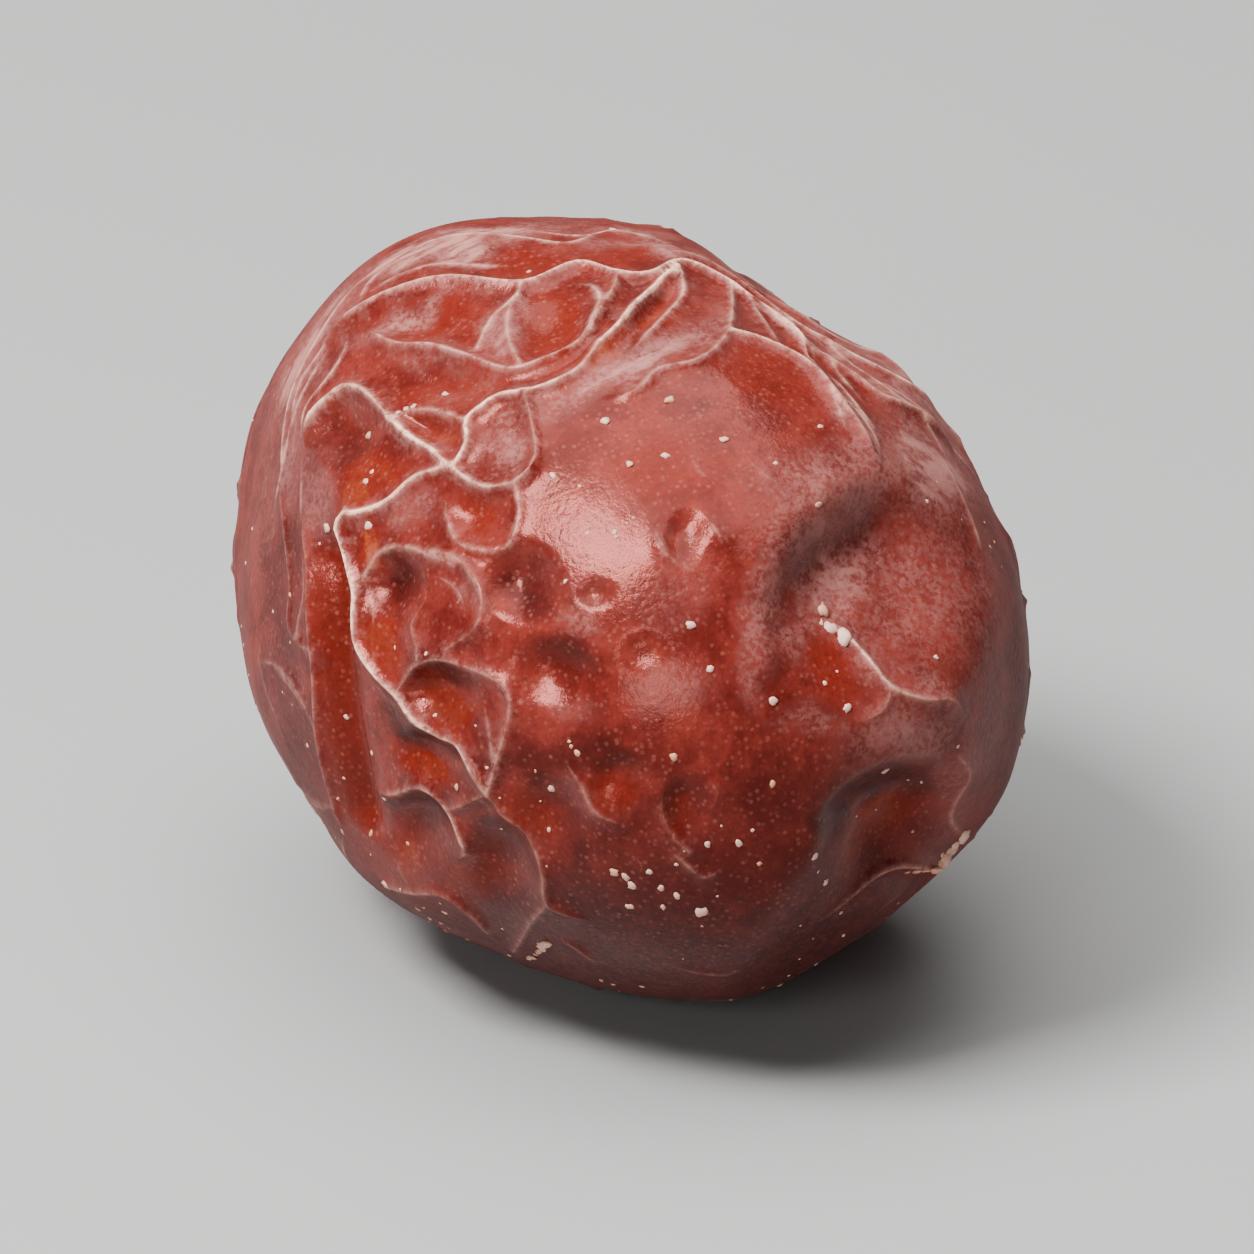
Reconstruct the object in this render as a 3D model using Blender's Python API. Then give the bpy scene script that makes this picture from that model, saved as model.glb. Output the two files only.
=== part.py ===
"""A dried jujube lying on its side.

It is one solid, with its folds, grooves, dents and stem basin raised from its skin. The long axis
runs along X, the stem basin faces -X and the tip faces +X. The fruit lies on z = 0.
"""

import math

import bmesh
import bpy
import numpy as np
from mathutils import Matrix, Vector, noise

MM = 0.001

# Driving dimensions
BODY_LENGTH = 25.1 * MM
BODY_WIDTH = 18.4 * MM
BLUNTNESS = 2.12  # 2 is an ellipsoid, more has squarer ends
STEM_SHOULDER = 0.03  # how much wider the stem half is than the tip half
TIP_DIP = math.radians(3)  # the tip end lies a little lower than the stem end
FLAT_DEPTH = 0.3 * MM  # how far the underside is pressed flat
FLAT_CLEAR = 4.2 * MM  # folds fade out within this distance of the lowest point

# The view in which the folds below were drawn: the fruit seen from above its tip end
SIGHT_AZIMUTH = math.radians(61)
SIGHT_ELEVATION = math.radians(24)
SIGHT_STEPS = 1200
EDGE_SHRINK = 0.8  # a place drawn past the edge is drawn in, at most to this share of its distance
EDGE_STEPS = 101

# Where the drawn view ends: 1 is where the body faces the viewer, 0 its edge and less than 0 behind it
HIDDEN_FADE = (0.06, -0.24)  # the net and the dents of the hidden side start here and are full here
DENT_FADE = (-1.5 * MM, -6.1 * MM)  # drawn dents start to fade this near to the viewer and are gone here

# Cross-section of a fold: a crisp crest on a broad foot that falls away to the floors on both sides
CREST_REACH = 0.20 * MM
FOOT_REACH = 0.75 * MM
FOOT_SHARE = 0.35
CREST_RADIUS = 0.07 * MM
BLEND_POWER = 4  # how folds that meet are joined: more is sharper
END_TAPER = 1.0 * MM
JOIN_DISTANCE = 0.4 * MM
LINE_STEP = 0.25 * MM

# The net of folds on the skin that the drawn view doesn't show, between seeded cells
NET_SEED = 11
NET_CELLS = 230
NET_JITTER = 0.10
NET_WARP = 1.0 * MM
NET_WARP_LENGTH = 2.3 * MM
NET_LINE_POINTS = 7
NET_HEIGHT = (0.14 * MM, 0.34 * MM)
NET_KEPT = 0.92
NET_PATCH_LENGTH = 5.0 * MM
NET_PATCH_EDGE = -0.45  # the net lies where the patch noise is above this

# Wrinkles beside the net, which run lengthwise
WRINKLE_HEIGHT = 0.28 * MM
WRINKLE_LENGTH = 7.5 * MM
WRINKLE_SPACING = 2.9 * MM
WRINKLE_WARP = 0.8 * MM
WRINKLE_NARROWNESS = 2.2
WRINKLE_PATCH_EDGES = (-0.20, -0.45)  # they start at the first patch noise and are full at the second

# Places in the noise that each use of it reads from
WARP_PLACES = (3.1, 7.7, 12.3)
BEND_PLACES = (4.2, 8.8, 13.4)
PATCH_PLACE = 20.5
WRINKLE_PLACE = 31.7
SWELL_PLACE = 1.5

# Broad shape of the skin; a drawn dent is deeper on the side that it leans to
DENT_LEAN = 0.55
DENT_LEAN_ANGLE = math.radians(125)
SWELL_LENGTH = 8 * MM
SWELL_HEIGHT = 0.22 * MM
DENT_SEED = 4
HIDDEN_DENTS = 26
HIDDEN_DENT_JITTER = 0.15
HIDDEN_DENT_EDGE = 0.05  # they may lie this far in front of the edge of the drawn view
HIDDEN_DENT_RADIUS = (1.2 * MM, 2.8 * MM)
HIDDEN_DENT_DEPTH = (0.12 * MM, 0.55 * MM)

# Stem basin and the scar in it
BASIN_RADIUS = 3.2 * MM
BASIN_DEPTH = 1.45 * MM
BASIN_FLOOR = 0.30  # the floor, rim and pleats lie at these shares of the basin's radius
BASIN_RIM = 1.08
BASIN_RIM_WIDTH = 0.22
BASIN_RIM_HEIGHT = 0.22 * MM
PLEATS_START = (0.42, 0.62)
PLEATS_END = (1.45, 0.95)
PLEATS = 15
PLEAT_DEPTH = 0.17 * MM
SCAR_RING_RADIUS = 1.1 * MM
SCAR_RING_WIDTH = 0.24 * MM
SCAR_RING_HEIGHT = 0.30 * MM
SCAR_PIT_RADIUS = 0.8 * MM
SCAR_PIT_DEPTH = 0.35 * MM

# Mesh
SPHERE_SUBDIVISIONS = 7
TRIANGLES = 11400
FLAT_TOLERANCE = 0.01 * MM

# Folds as drawn in the view: height in mm, then points in mm right of and above the fruit's middle
FOLDS = {
    "crown": (0.34, [
        (-7.6, 6.7), (-6.9, 7.2), (-5.6, 7.8), (-4.4, 8.15), (-2.6, 8.2), (-1.3, 8.72),
        (-0.3, 8.45), (0.5, 8.42), (1.3, 8.75), (2.5, 8.4), (3.1, 8.0), (4.0, 7.3), (4.5, 6.4)]),
    "under_crown": (0.32, [
        (-6.5, 7.0), (-5.8, 6.65), (-4.9, 6.6), (-4.0, 6.35), (-3.0, 6.0), (-2.1, 6.25),
        (-1.1, 6.75), (-0.8, 7.3), (-0.4, 8.0), (-0.3, 8.4)]),
    "window_left": (0.24, [(-2.7, 8.1), (-3.0, 7.5), (-3.0, 6.8), (-2.7, 6.15)]),
    "window_outer": (0.18, [(-2.8, 7.9), (-3.4, 7.4), (-3.8, 6.6)]),
    "slot_left": (0.34, [(-0.75, 6.6), (-0.3, 7.05), (0.0, 7.5), (0.5, 8.0), (1.2, 8.6)]),
    "slot_right": (0.21, [(0.0, 6.5), (0.6, 7.1), (1.3, 7.9), (1.3, 8.5)]),
    "lobe": (0.24, [
        (2.6, 8.3), (2.5, 7.2), (2.2, 6.6), (1.6, 6.2), (0.7, 6.0), (0.2, 5.5), (-0.6, 5.3)]),
    "shoulder": (0.29, [
        (2.45, 6.95), (3.3, 6.75), (4.3, 6.25), (4.9, 5.5), (5.5, 4.7), (6.1, 3.7)]),
    "crest_inner": (0.21, [(3.0, 8.1), (3.4, 7.4), (3.7, 6.7)]),
    "band": (0.32, [
        (-0.75, 6.6), (-1.3, 5.95), (-2.3, 5.5), (-3.2, 5.35), (-3.6, 5.1), (-4.0, 4.75),
        (-4.0, 4.2), (-4.3, 3.6)]),
    "diamond_top": (0.16, [(-4.0, 4.75), (-4.8, 5.05), (-5.6, 5.05), (-5.95, 4.85)]),
    "diamond_low": (0.32, [
        (-5.95, 4.85), (-5.4, 4.35), (-4.9, 4.05), (-4.4, 3.6), (-3.6, 3.1), (-2.8, 3.2),
        (-2.3, 3.8), (-2.4, 4.7), (-2.6, 5.4)]),
    "arch": (0.32, [
        (-8.4, 4.1), (-8.0, 5.0), (-7.5, 5.45), (-7.0, 5.65), (-6.5, 5.45), (-5.95, 4.85)]),
    "fork": (0.32, [
        (-7.25, 2.9), (-7.05, 2.5), (-6.4, 2.6), (-5.9, 2.85), (-5.3, 3.35), (-4.4, 3.6)]),
    "spine": (0.35, [
        (-7.05, 2.5), (-7.4, 2.1), (-7.1, 1.4), (-6.85, 0.5), (-6.8, -0.7), (-6.3, -1.5),
        (-5.8, -2.0), (-5.4, -2.6), (-4.7, -3.1), (-4.3, -3.2), (-3.9, -3.9), (-3.5, -4.5)]),
    "flank": (0.22, [
        (-8.6, 2.6), (-8.3, 1.4), (-8.15, 0.0), (-7.9, -1.6), (-7.75, -3.2), (-7.3, -4.8),
        (-6.9, -5.6)]),
    "limb_upper": (0.09, [(-9.3, 3.6), (-9.2, 2.2), (-8.9, 0.8), (-8.75, -0.4), (-8.0, -1.0)]),
    "limb_lower": (0.08, [(-9.6, -1.2), (-8.9, -1.35), (-8.3, -2.0), (-7.8, -3.0)]),
    "limb_foot": (0.06, [(-8.9, -3.4), (-8.2, -4.5), (-7.4, -4.85)]),
    "pocket_top": (0.18, [(-6.8, 0.8), (-6.3, 1.5), (-5.6, 1.65), (-4.9, 1.4), (-4.35, 1.2)]),
    "pocket_foot": (0.19, [(-5.75, -1.9), (-5.25, -1.1), (-5.4, -0.3), (-5.0, 0.5)]),
    "hollow_rim": (0.26, [
        (-4.9, 1.5), (-4.35, 1.4), (-3.8, 0.9), (-3.6, 0.3), (-3.8, -0.4), (-4.5, -0.9)]),
    "tile": (0.16, [
        (-4.6, 3.1), (-4.5, 2.2), (-4.1, 1.65), (-3.1, 1.6), (-2.75, 2.3), (-2.8, 3.2)]),
    "nest_top": (0.24, [
        (-5.75, -1.9), (-5.4, -1.4), (-4.8, -1.15), (-3.9, -1.35), (-3.05, -1.8), (-2.95, -2.5),
        (-3.2, -3.4), (-3.5, -4.4)]),
    "nest_inner": (0.11, [(-3.7, -2.0), (-3.5, -2.8), (-3.4, -3.6)]),
    "hook": (0.27, [
        (-6.5, -4.4), (-5.9, -4.5), (-5.2, -4.35), (-4.6, -4.95), (-4.25, -5.6), (-4.1, -6.0),
        (-4.4, -6.2)]),
    "hook_branch": (0.22, [
        (-4.6, -4.95), (-4.1, -4.75), (-3.5, -4.5), (-3.2, -5.0), (-2.6, -5.6), (-2.2, -6.5),
        (-2.05, -7.3), (-1.1, -7.75)]),
    "foot_branch": (0.16, [(-2.05, -7.3), (-2.5, -7.8), (-3.0, -8.6)]),
    "foot_left": (0.22, [(-6.1, -6.5), (-5.3, -6.8), (-4.6, -6.95), (-3.8, -7.65), (-3.3, -8.3)]),
    "foot_mid": (0.14, [(-2.0, -8.2), (-1.3, -8.45), (-0.6, -9.0)]),
    "belly": (0.14, [(-1.7, -3.6), (-1.2, -4.3), (-0.9, -4.95), (0.1, -5.4)]),
    "ring_left": (0.16, [(0.9, -4.2), (0.8, -4.9), (1.1, -5.6), (1.5, -5.95)]),
    "ring_right": (0.13, [(1.8, -4.0), (2.2, -4.5), (1.9, -5.1)]),
    "ring_low": (0.10, [(1.2, -6.1), (1.9, -6.6), (2.5, -6.2)]),
    "keel": (0.11, [(0.8, -8.8), (1.7, -8.95), (2.4, -9.0), (3.0, -8.8)]),
    "pit_left": (0.19, [(0.5, 2.1), (0.8, 1.5), (1.35, 1.05)]),
    "pit_right": (0.19, [(1.9, 2.4), (2.1, 1.9), (2.4, 1.55)]),
    "tick_high": (0.10, [(1.4, 4.1), (1.7, 3.5), (2.2, 3.15)]),
    "tick_low": (0.08, [(2.8, 1.8), (3.1, 1.3), (3.4, 1.0)]),
    "crease": (0.27, [
        (5.3, 0.0), (5.8, -0.6), (6.2, -1.2), (6.6, -1.85), (7.4, -2.15), (8.0, -2.15),
        (8.5, -2.6)]),
    "crease_foot": (0.16, [(6.6, -1.85), (6.4, -2.4), (5.7, -2.8)]),
    "rim_outer": (0.24, [
        (0.0, 9.4), (0.8, 9.1), (2.0, 8.95), (3.1, 8.5), (4.3, 7.55), (5.4, 6.75), (6.6, 5.9),
        (7.7, 5.0)]),
    "rim_inner": (0.21, [(4.7, 6.6), (5.4, 6.1), (6.2, 5.4), (7.2, 4.9), (8.0, 4.2)]),
    "rim_far": (0.14, [(3.4, 8.6), (4.6, 7.85), (6.2, 6.8), (7.4, 5.8)]),
    "cheek_high": (0.13, [(8.0, 5.0), (8.5, 3.9), (9.0, 3.0)]),
    "cheek_low": (0.12, [(9.2, 2.5), (9.7, 1.5), (9.95, 0.6)]),
    "lip": (0.27, [
        (4.8, -8.1), (5.6, -7.6), (6.5, -7.05), (7.3, -6.75), (8.1, -6.65), (8.7, -6.0)]),
}

# Grooves as drawn in the view: depth and half-width in mm, then points
GROOVES = {
    "flank_groove": (0.48, 0.60, [
        (-7.9, 2.2), (-7.6, 1.0), (-7.45, -0.5), (-7.3, -2.0), (-7.05, -3.4), (-6.7, -4.8),
        (-6.35, -5.7)]),
    "cheek_wall": (0.26, 0.90, [
        (7.3, 2.7), (6.2, 2.1), (5.3, 1.65), (4.6, 1.1), (4.15, 0.4), (3.9, -0.5), (3.7, -1.2)]),
    "tip_wall": (0.24, 0.90, [
        (5.0, -6.1), (5.15, -5.3), (5.7, -4.7), (6.7, -4.45), (7.6, -4.6), (8.2, -5.1)]),
    "slot": (0.25, 0.30, [(0.0, 7.0), (0.6, 7.7), (1.1, 8.2)]),
    "lip_fold": (0.18, 0.42, [(5.2, -8.1), (6.2, -7.45), (7.2, -7.1), (8.1, -7.0)]),
}

# Dents as drawn in the view: middle, half-width and half-height in mm, turn in degrees, and depth
# in mm, which is less than 0 for a bulge
DENTS = {
    "cheek": ((6.4, 0.3), 3.2, 2.8, 60, 1.10),
    "tip": ((6.9, -5.5), 2.3, 1.6, 30, 0.85),
    "arch_pocket": ((-7.2, 4.6), 0.95, 1.0, 0, 0.45),
    "side_pocket": ((-6.0, 0.6), 0.9, 1.0, 0, 0.42),
    "oval_pocket": ((-2.6, 0.7), 0.95, 1.1, 30, 0.50),
    "shine_pocket": ((-1.7, -1.6), 1.3, 1.0, -25, 0.42),
    "shine_pit": ((0.4, -0.95), 0.65, 0.55, 0, 0.13),
    "small_pit": ((1.35, 1.8), 0.55, 0.85, -20, 0.18),
    "shine_dimple": ((-0.8, 0.45), 0.5, 0.4, 0, 0.14),
    "nest": ((-4.7, -2.1), 1.1, 0.9, -20, 0.42),
    "nest_low": ((-4.9, -3.6), 1.1, 0.7, -20, 0.34),
    "hook_pocket": ((-5.2, -5.4), 1.0, 1.0, 0, 0.38),
    "foot_pocket": ((-3.1, -6.3), 1.0, 1.2, 20, 0.36),
    "belly_pocket": ((-1.8, -5.2), 1.1, 1.2, 20, 0.28),
    "belly_dip": ((-0.2, -4.2), 0.8, 0.7, 0, 0.20),
    "ring_pocket": ((1.4, -4.9), 0.7, 0.9, 10, 0.22),
    "window": ((-1.9, 7.1), 0.9, 0.8, 0, 0.24),
    "long_window": ((-5.0, 7.15), 1.3, 0.5, 12, 0.24),
    "upper_window": ((-3.0, 8.75), 1.8, 0.4, 6, 0.20),
    "band_pocket": ((-4.4, 5.8), 1.2, 0.5, -10, 0.18),
    "diamond": ((-4.9, 4.6), 0.8, 0.4, -20, 0.24),
    "tile_pocket": ((-3.6, 2.4), 0.8, 0.7, 0, 0.16),
    "waist": ((5.0, 8.0), 4.0, 2.2, -36, 0.42),
    "under_tip": ((6.6, -8.0), 4.4, 2.6, 44, 0.60),
    "stem_side": ((-9.9, 1.6), 2.6, 4.8, 0, 0.58),
    "upper_bulge": ((-5.4, 8.6), 3.8, 2.3, 36, -0.38),
    "lower_bulge": ((-6.2, -7.4), 3.2, 2.2, -42, -0.28),
    "right_bulge": ((8.2, 6.0), 2.4, 2.0, -45, -0.25),
}


def sight_axes():
    """The view's right, up and towards-the-viewer directions, in the fruit's own axes before it dips."""
    a = SIGHT_AZIMUTH
    e = SIGHT_ELEVATION
    world = np.array([
        (math.cos(a), math.sin(a), 0.0),
        (-math.sin(a) * math.sin(e), math.cos(a) * math.sin(e), math.cos(e)),
        (math.sin(a) * math.cos(e), -math.cos(a) * math.cos(e), math.sin(e)),
    ])
    return world @ np.array(Matrix.Rotation(TIP_DIP, 3, "Y"))


def unit(vectors):
    return vectors / np.linalg.norm(vectors, axis=-1, keepdims=True)


def fade(value, start, end):
    """0 at start and before it, 1 at end and past it, and smooth between; start may be the larger."""
    t = np.clip((value - start) / (end - start), 0, 1)
    return t * t * (3 - 2 * t)


def wander(points, length, place):
    """Smooth noise about -1 to 1 that changes over the given length, read from a place of its own."""
    offset = Vector((place, 2 * place, 3 * place))
    return np.array([noise.noise(Vector(p) + offset) for p in (points / length).tolist()])


def wander_3d(points, length, places):
    return np.stack([wander(points, length, place) for place in places], axis=1)


def body_radius(directions):
    """Distance from the middle to the plain body, without folds, along each unit direction."""
    along = directions[:, 0]
    across = np.hypot(directions[:, 1], directions[:, 2])
    half_width = BODY_WIDTH / 2 * (1 - STEM_SHOULDER * along)
    p = BLUNTNESS
    return ((np.abs(along) / (BODY_LENGTH / 2)) ** p + (across / half_width) ** p) ** (-1 / p)


def on_body(drawn):
    """Points of the body seen at drawn (right, up) places; a place past the edge is drawn in to it."""
    right, up, toward = sight_axes()
    depths = np.linspace(BODY_LENGTH, 0, SIGHT_STEPS)[:, None]
    found = []
    for x, y in drawn:
        for shrink in np.linspace(1, EDGE_SHRINK, EDGE_STEPS):
            ray = shrink * (x * right + y * up) + depths * toward
            inside = np.linalg.norm(ray, axis=1) <= body_radius(unit(ray))
            if inside.any():
                found.append(ray[np.argmax(inside)])
                break
    return np.array(found)


def drawn_line(drawn):
    """Points close together along a smooth line on the body through drawn places, which are in mm."""
    directions = unit(smooth_line(on_body(np.array(drawn) * MM), LINE_STEP))
    return directions * body_radius(directions)[:, None]


def smooth_line(points, step):
    """Points about a step apart on a smooth curve through the given ones."""
    padded = np.vstack([2 * points[0] - points[1], points, 2 * points[-1] - points[-2]])
    made = []
    for a, b, c, d in zip(padded, padded[1:], padded[2:], padded[3:]):
        count = max(1, round(float(np.linalg.norm(c - b)) / step))
        t = np.arange(count)[:, None] / count
        cubic = (3 * b - a - 3 * c + d) * t**3 + (2 * a - 5 * b + 4 * c - d) * t**2 + (c - a) * t
        made.append(b + cubic / 2)
    return np.vstack([*made, points[-1:]])


def line_distance(points, line):
    """Least distance from each point to a line, and how far along the line that is."""
    starts = line[:-1]
    spans = line[1:] - starts
    lengths = np.linalg.norm(spans, axis=1)
    offsets = points[:, None, :] - starts[None]
    shares = np.clip(np.einsum("nsk,sk->ns", offsets, spans) / lengths**2, 0, 1)
    gaps = np.linalg.norm(offsets - shares[..., None] * spans[None], axis=2)
    nearest = np.argmin(gaps, axis=1)
    rows = np.arange(len(points))
    before = np.concatenate([[0], np.cumsum(lengths)])[nearest]
    return gaps[rows, nearest], before + shares[rows, nearest] * lengths[nearest]


def near(points, line, reach):
    """Indexes of the points that may lie within reach of a line."""
    middle = (line.min(axis=0) + line.max(axis=0)) / 2
    radius = np.linalg.norm(line - middle, axis=1).max() + reach
    return np.nonzero(np.linalg.norm(points - middle, axis=1) < radius)[0]


def crest(distance):
    """Cross-section of a fold: 1 on its crest, 0 far from it."""
    drop = np.hypot(distance, CREST_RADIUS) - CREST_RADIUS
    return (1 - FOOT_SHARE) * np.exp(-drop / CREST_REACH) + FOOT_SHARE * np.exp(-drop / FOOT_REACH)


def drawn_folds():
    """The drawn folds: height, line, and whether its start and its end join another fold."""
    lines = [drawn_line(drawn) for _, drawn in FOLDS.values()]
    folds = []
    for (height, _), line in zip(FOLDS.values(), lines):
        others = [other for other in lines if other is not line]
        joins = [min(line_distance(end, other)[0][0] for other in others) < JOIN_DISTANCE
                 for end in (line[:1], line[-1:])]
        folds.append((height * MM, line, *joins))
    return folds


def scattered(count, jitter, rng):
    """Evenly spread unit directions, each moved a little at random."""
    index = np.arange(count) + 0.5
    height = 1 - 2 * index / count
    turn = index * math.pi * (3 - math.sqrt(5))
    ring = np.sqrt(1 - height**2)
    spread = np.stack([height, ring * np.cos(turn), ring * np.sin(turn)], axis=1)
    return unit(spread + rng.normal(0, jitter, spread.shape))


def cell_borders(seeds):
    """Borders between cells round unit directions: two corners each, as a number and a direction."""
    hull = bmesh.new()
    for seed in seeds:
        hull.verts.new(seed)
    hull.verts.index_update()
    bmesh.ops.convex_hull(hull, input=hull.verts[:])
    hull.faces.index_update()
    corners = [(face.index, np.array(face.normal)) for face in hull.faces]
    edges = sorted(hull.edges, key=lambda edge: sorted(vert.index for vert in edge.verts))
    borders = [[corners[face.index] for face in edge.link_faces] for edge in edges]
    hull.free()
    return borders


def net_folds():
    """The folds of the net: height, line, and whether its start and its end join another fold."""
    rng = np.random.default_rng(NET_SEED)
    kept = []
    for (first, start), (last, end) in cell_borders(scattered(NET_CELLS, NET_JITTER, rng)):
        height = rng.uniform(*NET_HEIGHT)
        lucky = rng.random() < NET_KEPT
        directions = unit(start + np.linspace(0, 1, NET_LINE_POINTS)[:, None] * (end - start))
        points = directions * body_radius(directions)[:, None]
        patch = wander(points[NET_LINE_POINTS // 2][None], NET_PATCH_LENGTH, PATCH_PLACE)[0]
        hidden = hidden_share(directions[NET_LINE_POINTS // 2][None])[0]
        if lucky and hidden > 0 and patch > NET_PATCH_EDGE:
            warp = wander_3d(points, NET_WARP_LENGTH, WARP_PLACES)
            directions = unit(smooth_line(points + NET_WARP * warp, LINE_STEP))
            kept.append((height, directions * body_radius(directions)[:, None], first, last))
    corners = [corner for _, _, *ends in kept for corner in ends]
    return [(height, line, corners.count(first) > 1, corners.count(last) > 1)
            for height, line, first, last in kept]


def wrinkle_height(points):
    """Height of the lengthwise wrinkles at each point of the body: crests where a noise is near zero."""
    bend = wander_3d(points, NET_WARP_LENGTH, BEND_PLACES)
    moved = (points + WRINKLE_WARP * bend) * [WRINKLE_SPACING / WRINKLE_LENGTH, 1, 1]
    patch = wander(points, NET_PATCH_LENGTH, PATCH_PLACE)
    bare = fade(patch, *WRINKLE_PATCH_EDGES)
    waves = wander(moved, WRINKLE_SPACING, WRINKLE_PLACE)
    return WRINKLE_HEIGHT * bare * (1 - np.clip(WRINKLE_NARROWNESS * np.abs(waves), 0, 1)) ** 1.5


def fold_height(points, folds):
    """Height of the given folds at each point of the body."""
    total = np.zeros(len(points))
    for height, line, start_joins, end_joins in folds:
        found = near(points, line, 5 * FOOT_REACH)
        distance, along = line_distance(points[found], line)
        length = np.linalg.norm(np.diff(line, axis=0), axis=1).sum()
        rise = height * crest(distance)
        if not start_joins:
            rise *= fade(along, -END_TAPER / 3, END_TAPER)
        if not end_joins:
            rise *= fade(length - along, -END_TAPER / 3, END_TAPER)
        total[found] += rise**BLEND_POWER
    return total ** (1 / BLEND_POWER)


def drawn_grooves(points):
    """Depth of the drawn grooves at each point of the body."""
    total = np.zeros(len(points))
    for depth, half_width, drawn in GROOVES.values():
        line = drawn_line(drawn)
        found = near(points, line, 4 * half_width * MM)
        distance, along = line_distance(points[found], line)
        length = np.linalg.norm(np.diff(line, axis=0), axis=1).sum()
        ends = fade(np.minimum(along, length - along), 0, 1.5 * half_width * MM)
        total[found] += depth * MM * ends * np.exp(-((distance / (half_width * MM)) ** 2))
    return total


def bowl(share):
    """Profile of a dent, from 1 on its floor to 0 at its edge, of the share of its radius."""
    return fade(share, 1.15, 0.15)


def drawn_dents(points):
    """Depth of the drawn dents at each point of the body."""
    right, up, toward = sight_axes()
    facing = 1 - fade(points @ toward, *DENT_FADE)
    total = np.zeros(len(points))
    for middle, half_width, half_height, turn, depth in DENTS.values():
        c = math.cos(math.radians(turn))
        s = math.sin(math.radians(turn))
        x = points @ right - middle[0] * MM
        y = points @ up - middle[1] * MM
        share = np.hypot((c * x + s * y) / half_width, (c * y - s * x) / half_height) / MM
        lean = (x * math.cos(DENT_LEAN_ANGLE) + y * math.sin(DENT_LEAN_ANGLE)) / (half_height * MM)
        total += depth * MM * facing * bowl(share) * (1 + DENT_LEAN * np.clip(lean, -1, 1))
    return total


def hidden_share(directions):
    """1 where the plain body faces away from the drawn view, 0 where it faces it."""
    normals = unit(directions / np.array([BODY_LENGTH, BODY_WIDTH, BODY_WIDTH]) ** 2)
    return fade(normals @ sight_axes()[2], *HIDDEN_FADE)


def hidden_dents(points, directions):
    """Depth of the dents at each point of the body that the drawn view doesn't show."""
    rng = np.random.default_rng(DENT_SEED)
    centres = scattered(2 * HIDDEN_DENTS, HIDDEN_DENT_JITTER, rng)
    centres = centres[centres @ sight_axes()[2] < HIDDEN_DENT_EDGE][:HIDDEN_DENTS]
    total = np.zeros(len(points))
    for centre in centres:
        radius = rng.uniform(*HIDDEN_DENT_RADIUS)
        depth = rng.uniform(*HIDDEN_DENT_DEPTH)
        stretch = unit(rng.normal(0, 1, 3))
        middle = centre * body_radius(centre[None])
        offset = points - middle
        along = offset @ stretch
        share = np.sqrt((offset**2).sum(axis=1) - 0.5 * along**2) / radius
        total += depth * bowl(share)
    return total * hidden_share(directions)


def stem_basin(points):
    """Height of the skin in and round the stem basin, and how far the basin clears the folds away."""
    reach = np.hypot(points[:, 1], points[:, 2])
    turn = np.arctan2(points[:, 2], points[:, 1])
    at_stem = points[:, 0] < 0
    uneven = 1 + 0.10 * np.sin(2 * turn + 0.8) + 0.06 * np.sin(3 * turn - 1.1)
    share = reach / (BASIN_RADIUS * uneven)
    height = -BASIN_DEPTH * fade(share, 1.0, BASIN_FLOOR)
    height += BASIN_RIM_HEIGHT * np.exp(-(((share - BASIN_RIM) / BASIN_RIM_WIDTH) ** 2))
    pleat = np.cos(PLEATS * turn + 0.9 * np.sin(3 * turn) + 0.7 * np.sin(5 * turn + 1))
    pleated = fade(share, *PLEATS_START) * fade(share, *PLEATS_END)
    height += PLEAT_DEPTH * pleated * (pleat - 0.3) * (0.75 + 0.25 * np.sin(4 * turn))
    height += SCAR_RING_HEIGHT * np.exp(-(((reach - SCAR_RING_RADIUS) / SCAR_RING_WIDTH) ** 2))
    height -= SCAR_PIT_DEPTH * fade(reach, SCAR_PIT_RADIUS, 0.45 * SCAR_PIT_RADIUS)
    return at_stem * height, 1 - at_stem * fade(share, 1.6, 1.1)


def relief(directions):
    """Height of the skin above the plain body along each unit direction."""
    points = directions * body_radius(directions)[:, None]
    hidden = hidden_share(directions)
    basin, clear_of_basin = stem_basin(points)
    lowest = np.array(Matrix.Rotation(TIP_DIP, 3, "Y").inverted() @ Vector((0, 0, -BODY_WIDTH / 2)))
    clear_of_flat = fade(np.linalg.norm(points - lowest, axis=1), 0.6 * FLAT_CLEAR, FLAT_CLEAR)
    folds = fold_height(points, drawn_folds())
    hidden_folds = np.maximum(fold_height(points, net_folds()), wrinkle_height(points))
    folds += hidden * hidden_folds * clear_of_basin * clear_of_flat
    dents = drawn_dents(points) + hidden_dents(points, directions) * clear_of_basin * clear_of_flat
    swell = SWELL_HEIGHT * wander(points, SWELL_LENGTH, SWELL_PLACE)
    return folds - drawn_grooves(points) - dents + swell + basin


def skin_material():
    material = bpy.data.materials.new("jujube_skin")
    material.use_nodes = True
    shader = material.node_tree.nodes["Principled BSDF"]
    shader.inputs["Base Color"].default_value = (0.22, 0.035, 0.022, 1)
    shader.inputs["Roughness"].default_value = 0.42
    shader.inputs["Metallic"].default_value = 0
    return material


def vertex_places(mesh):
    places = np.empty(3 * len(mesh.vertices), dtype=np.float32)
    mesh.vertices.foreach_get("co", places)
    return places.reshape(-1, 3).astype(float)


def raise_skin(mesh):
    """Turn a unit sphere into the fruit, with its lowest stretch pressed flat on z = 0."""
    directions = unit(vertex_places(mesh))
    points = directions * (body_radius(directions) + relief(directions))[:, None]
    points = points @ np.array(Matrix.Rotation(TIP_DIP, 3, "Y")).T
    points[:, 2] -= points[:, 2].min() + FLAT_DEPTH
    points[:, 2] = np.clip(points[:, 2], 0, None)
    mesh.vertices.foreach_set("co", points.ravel())


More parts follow.
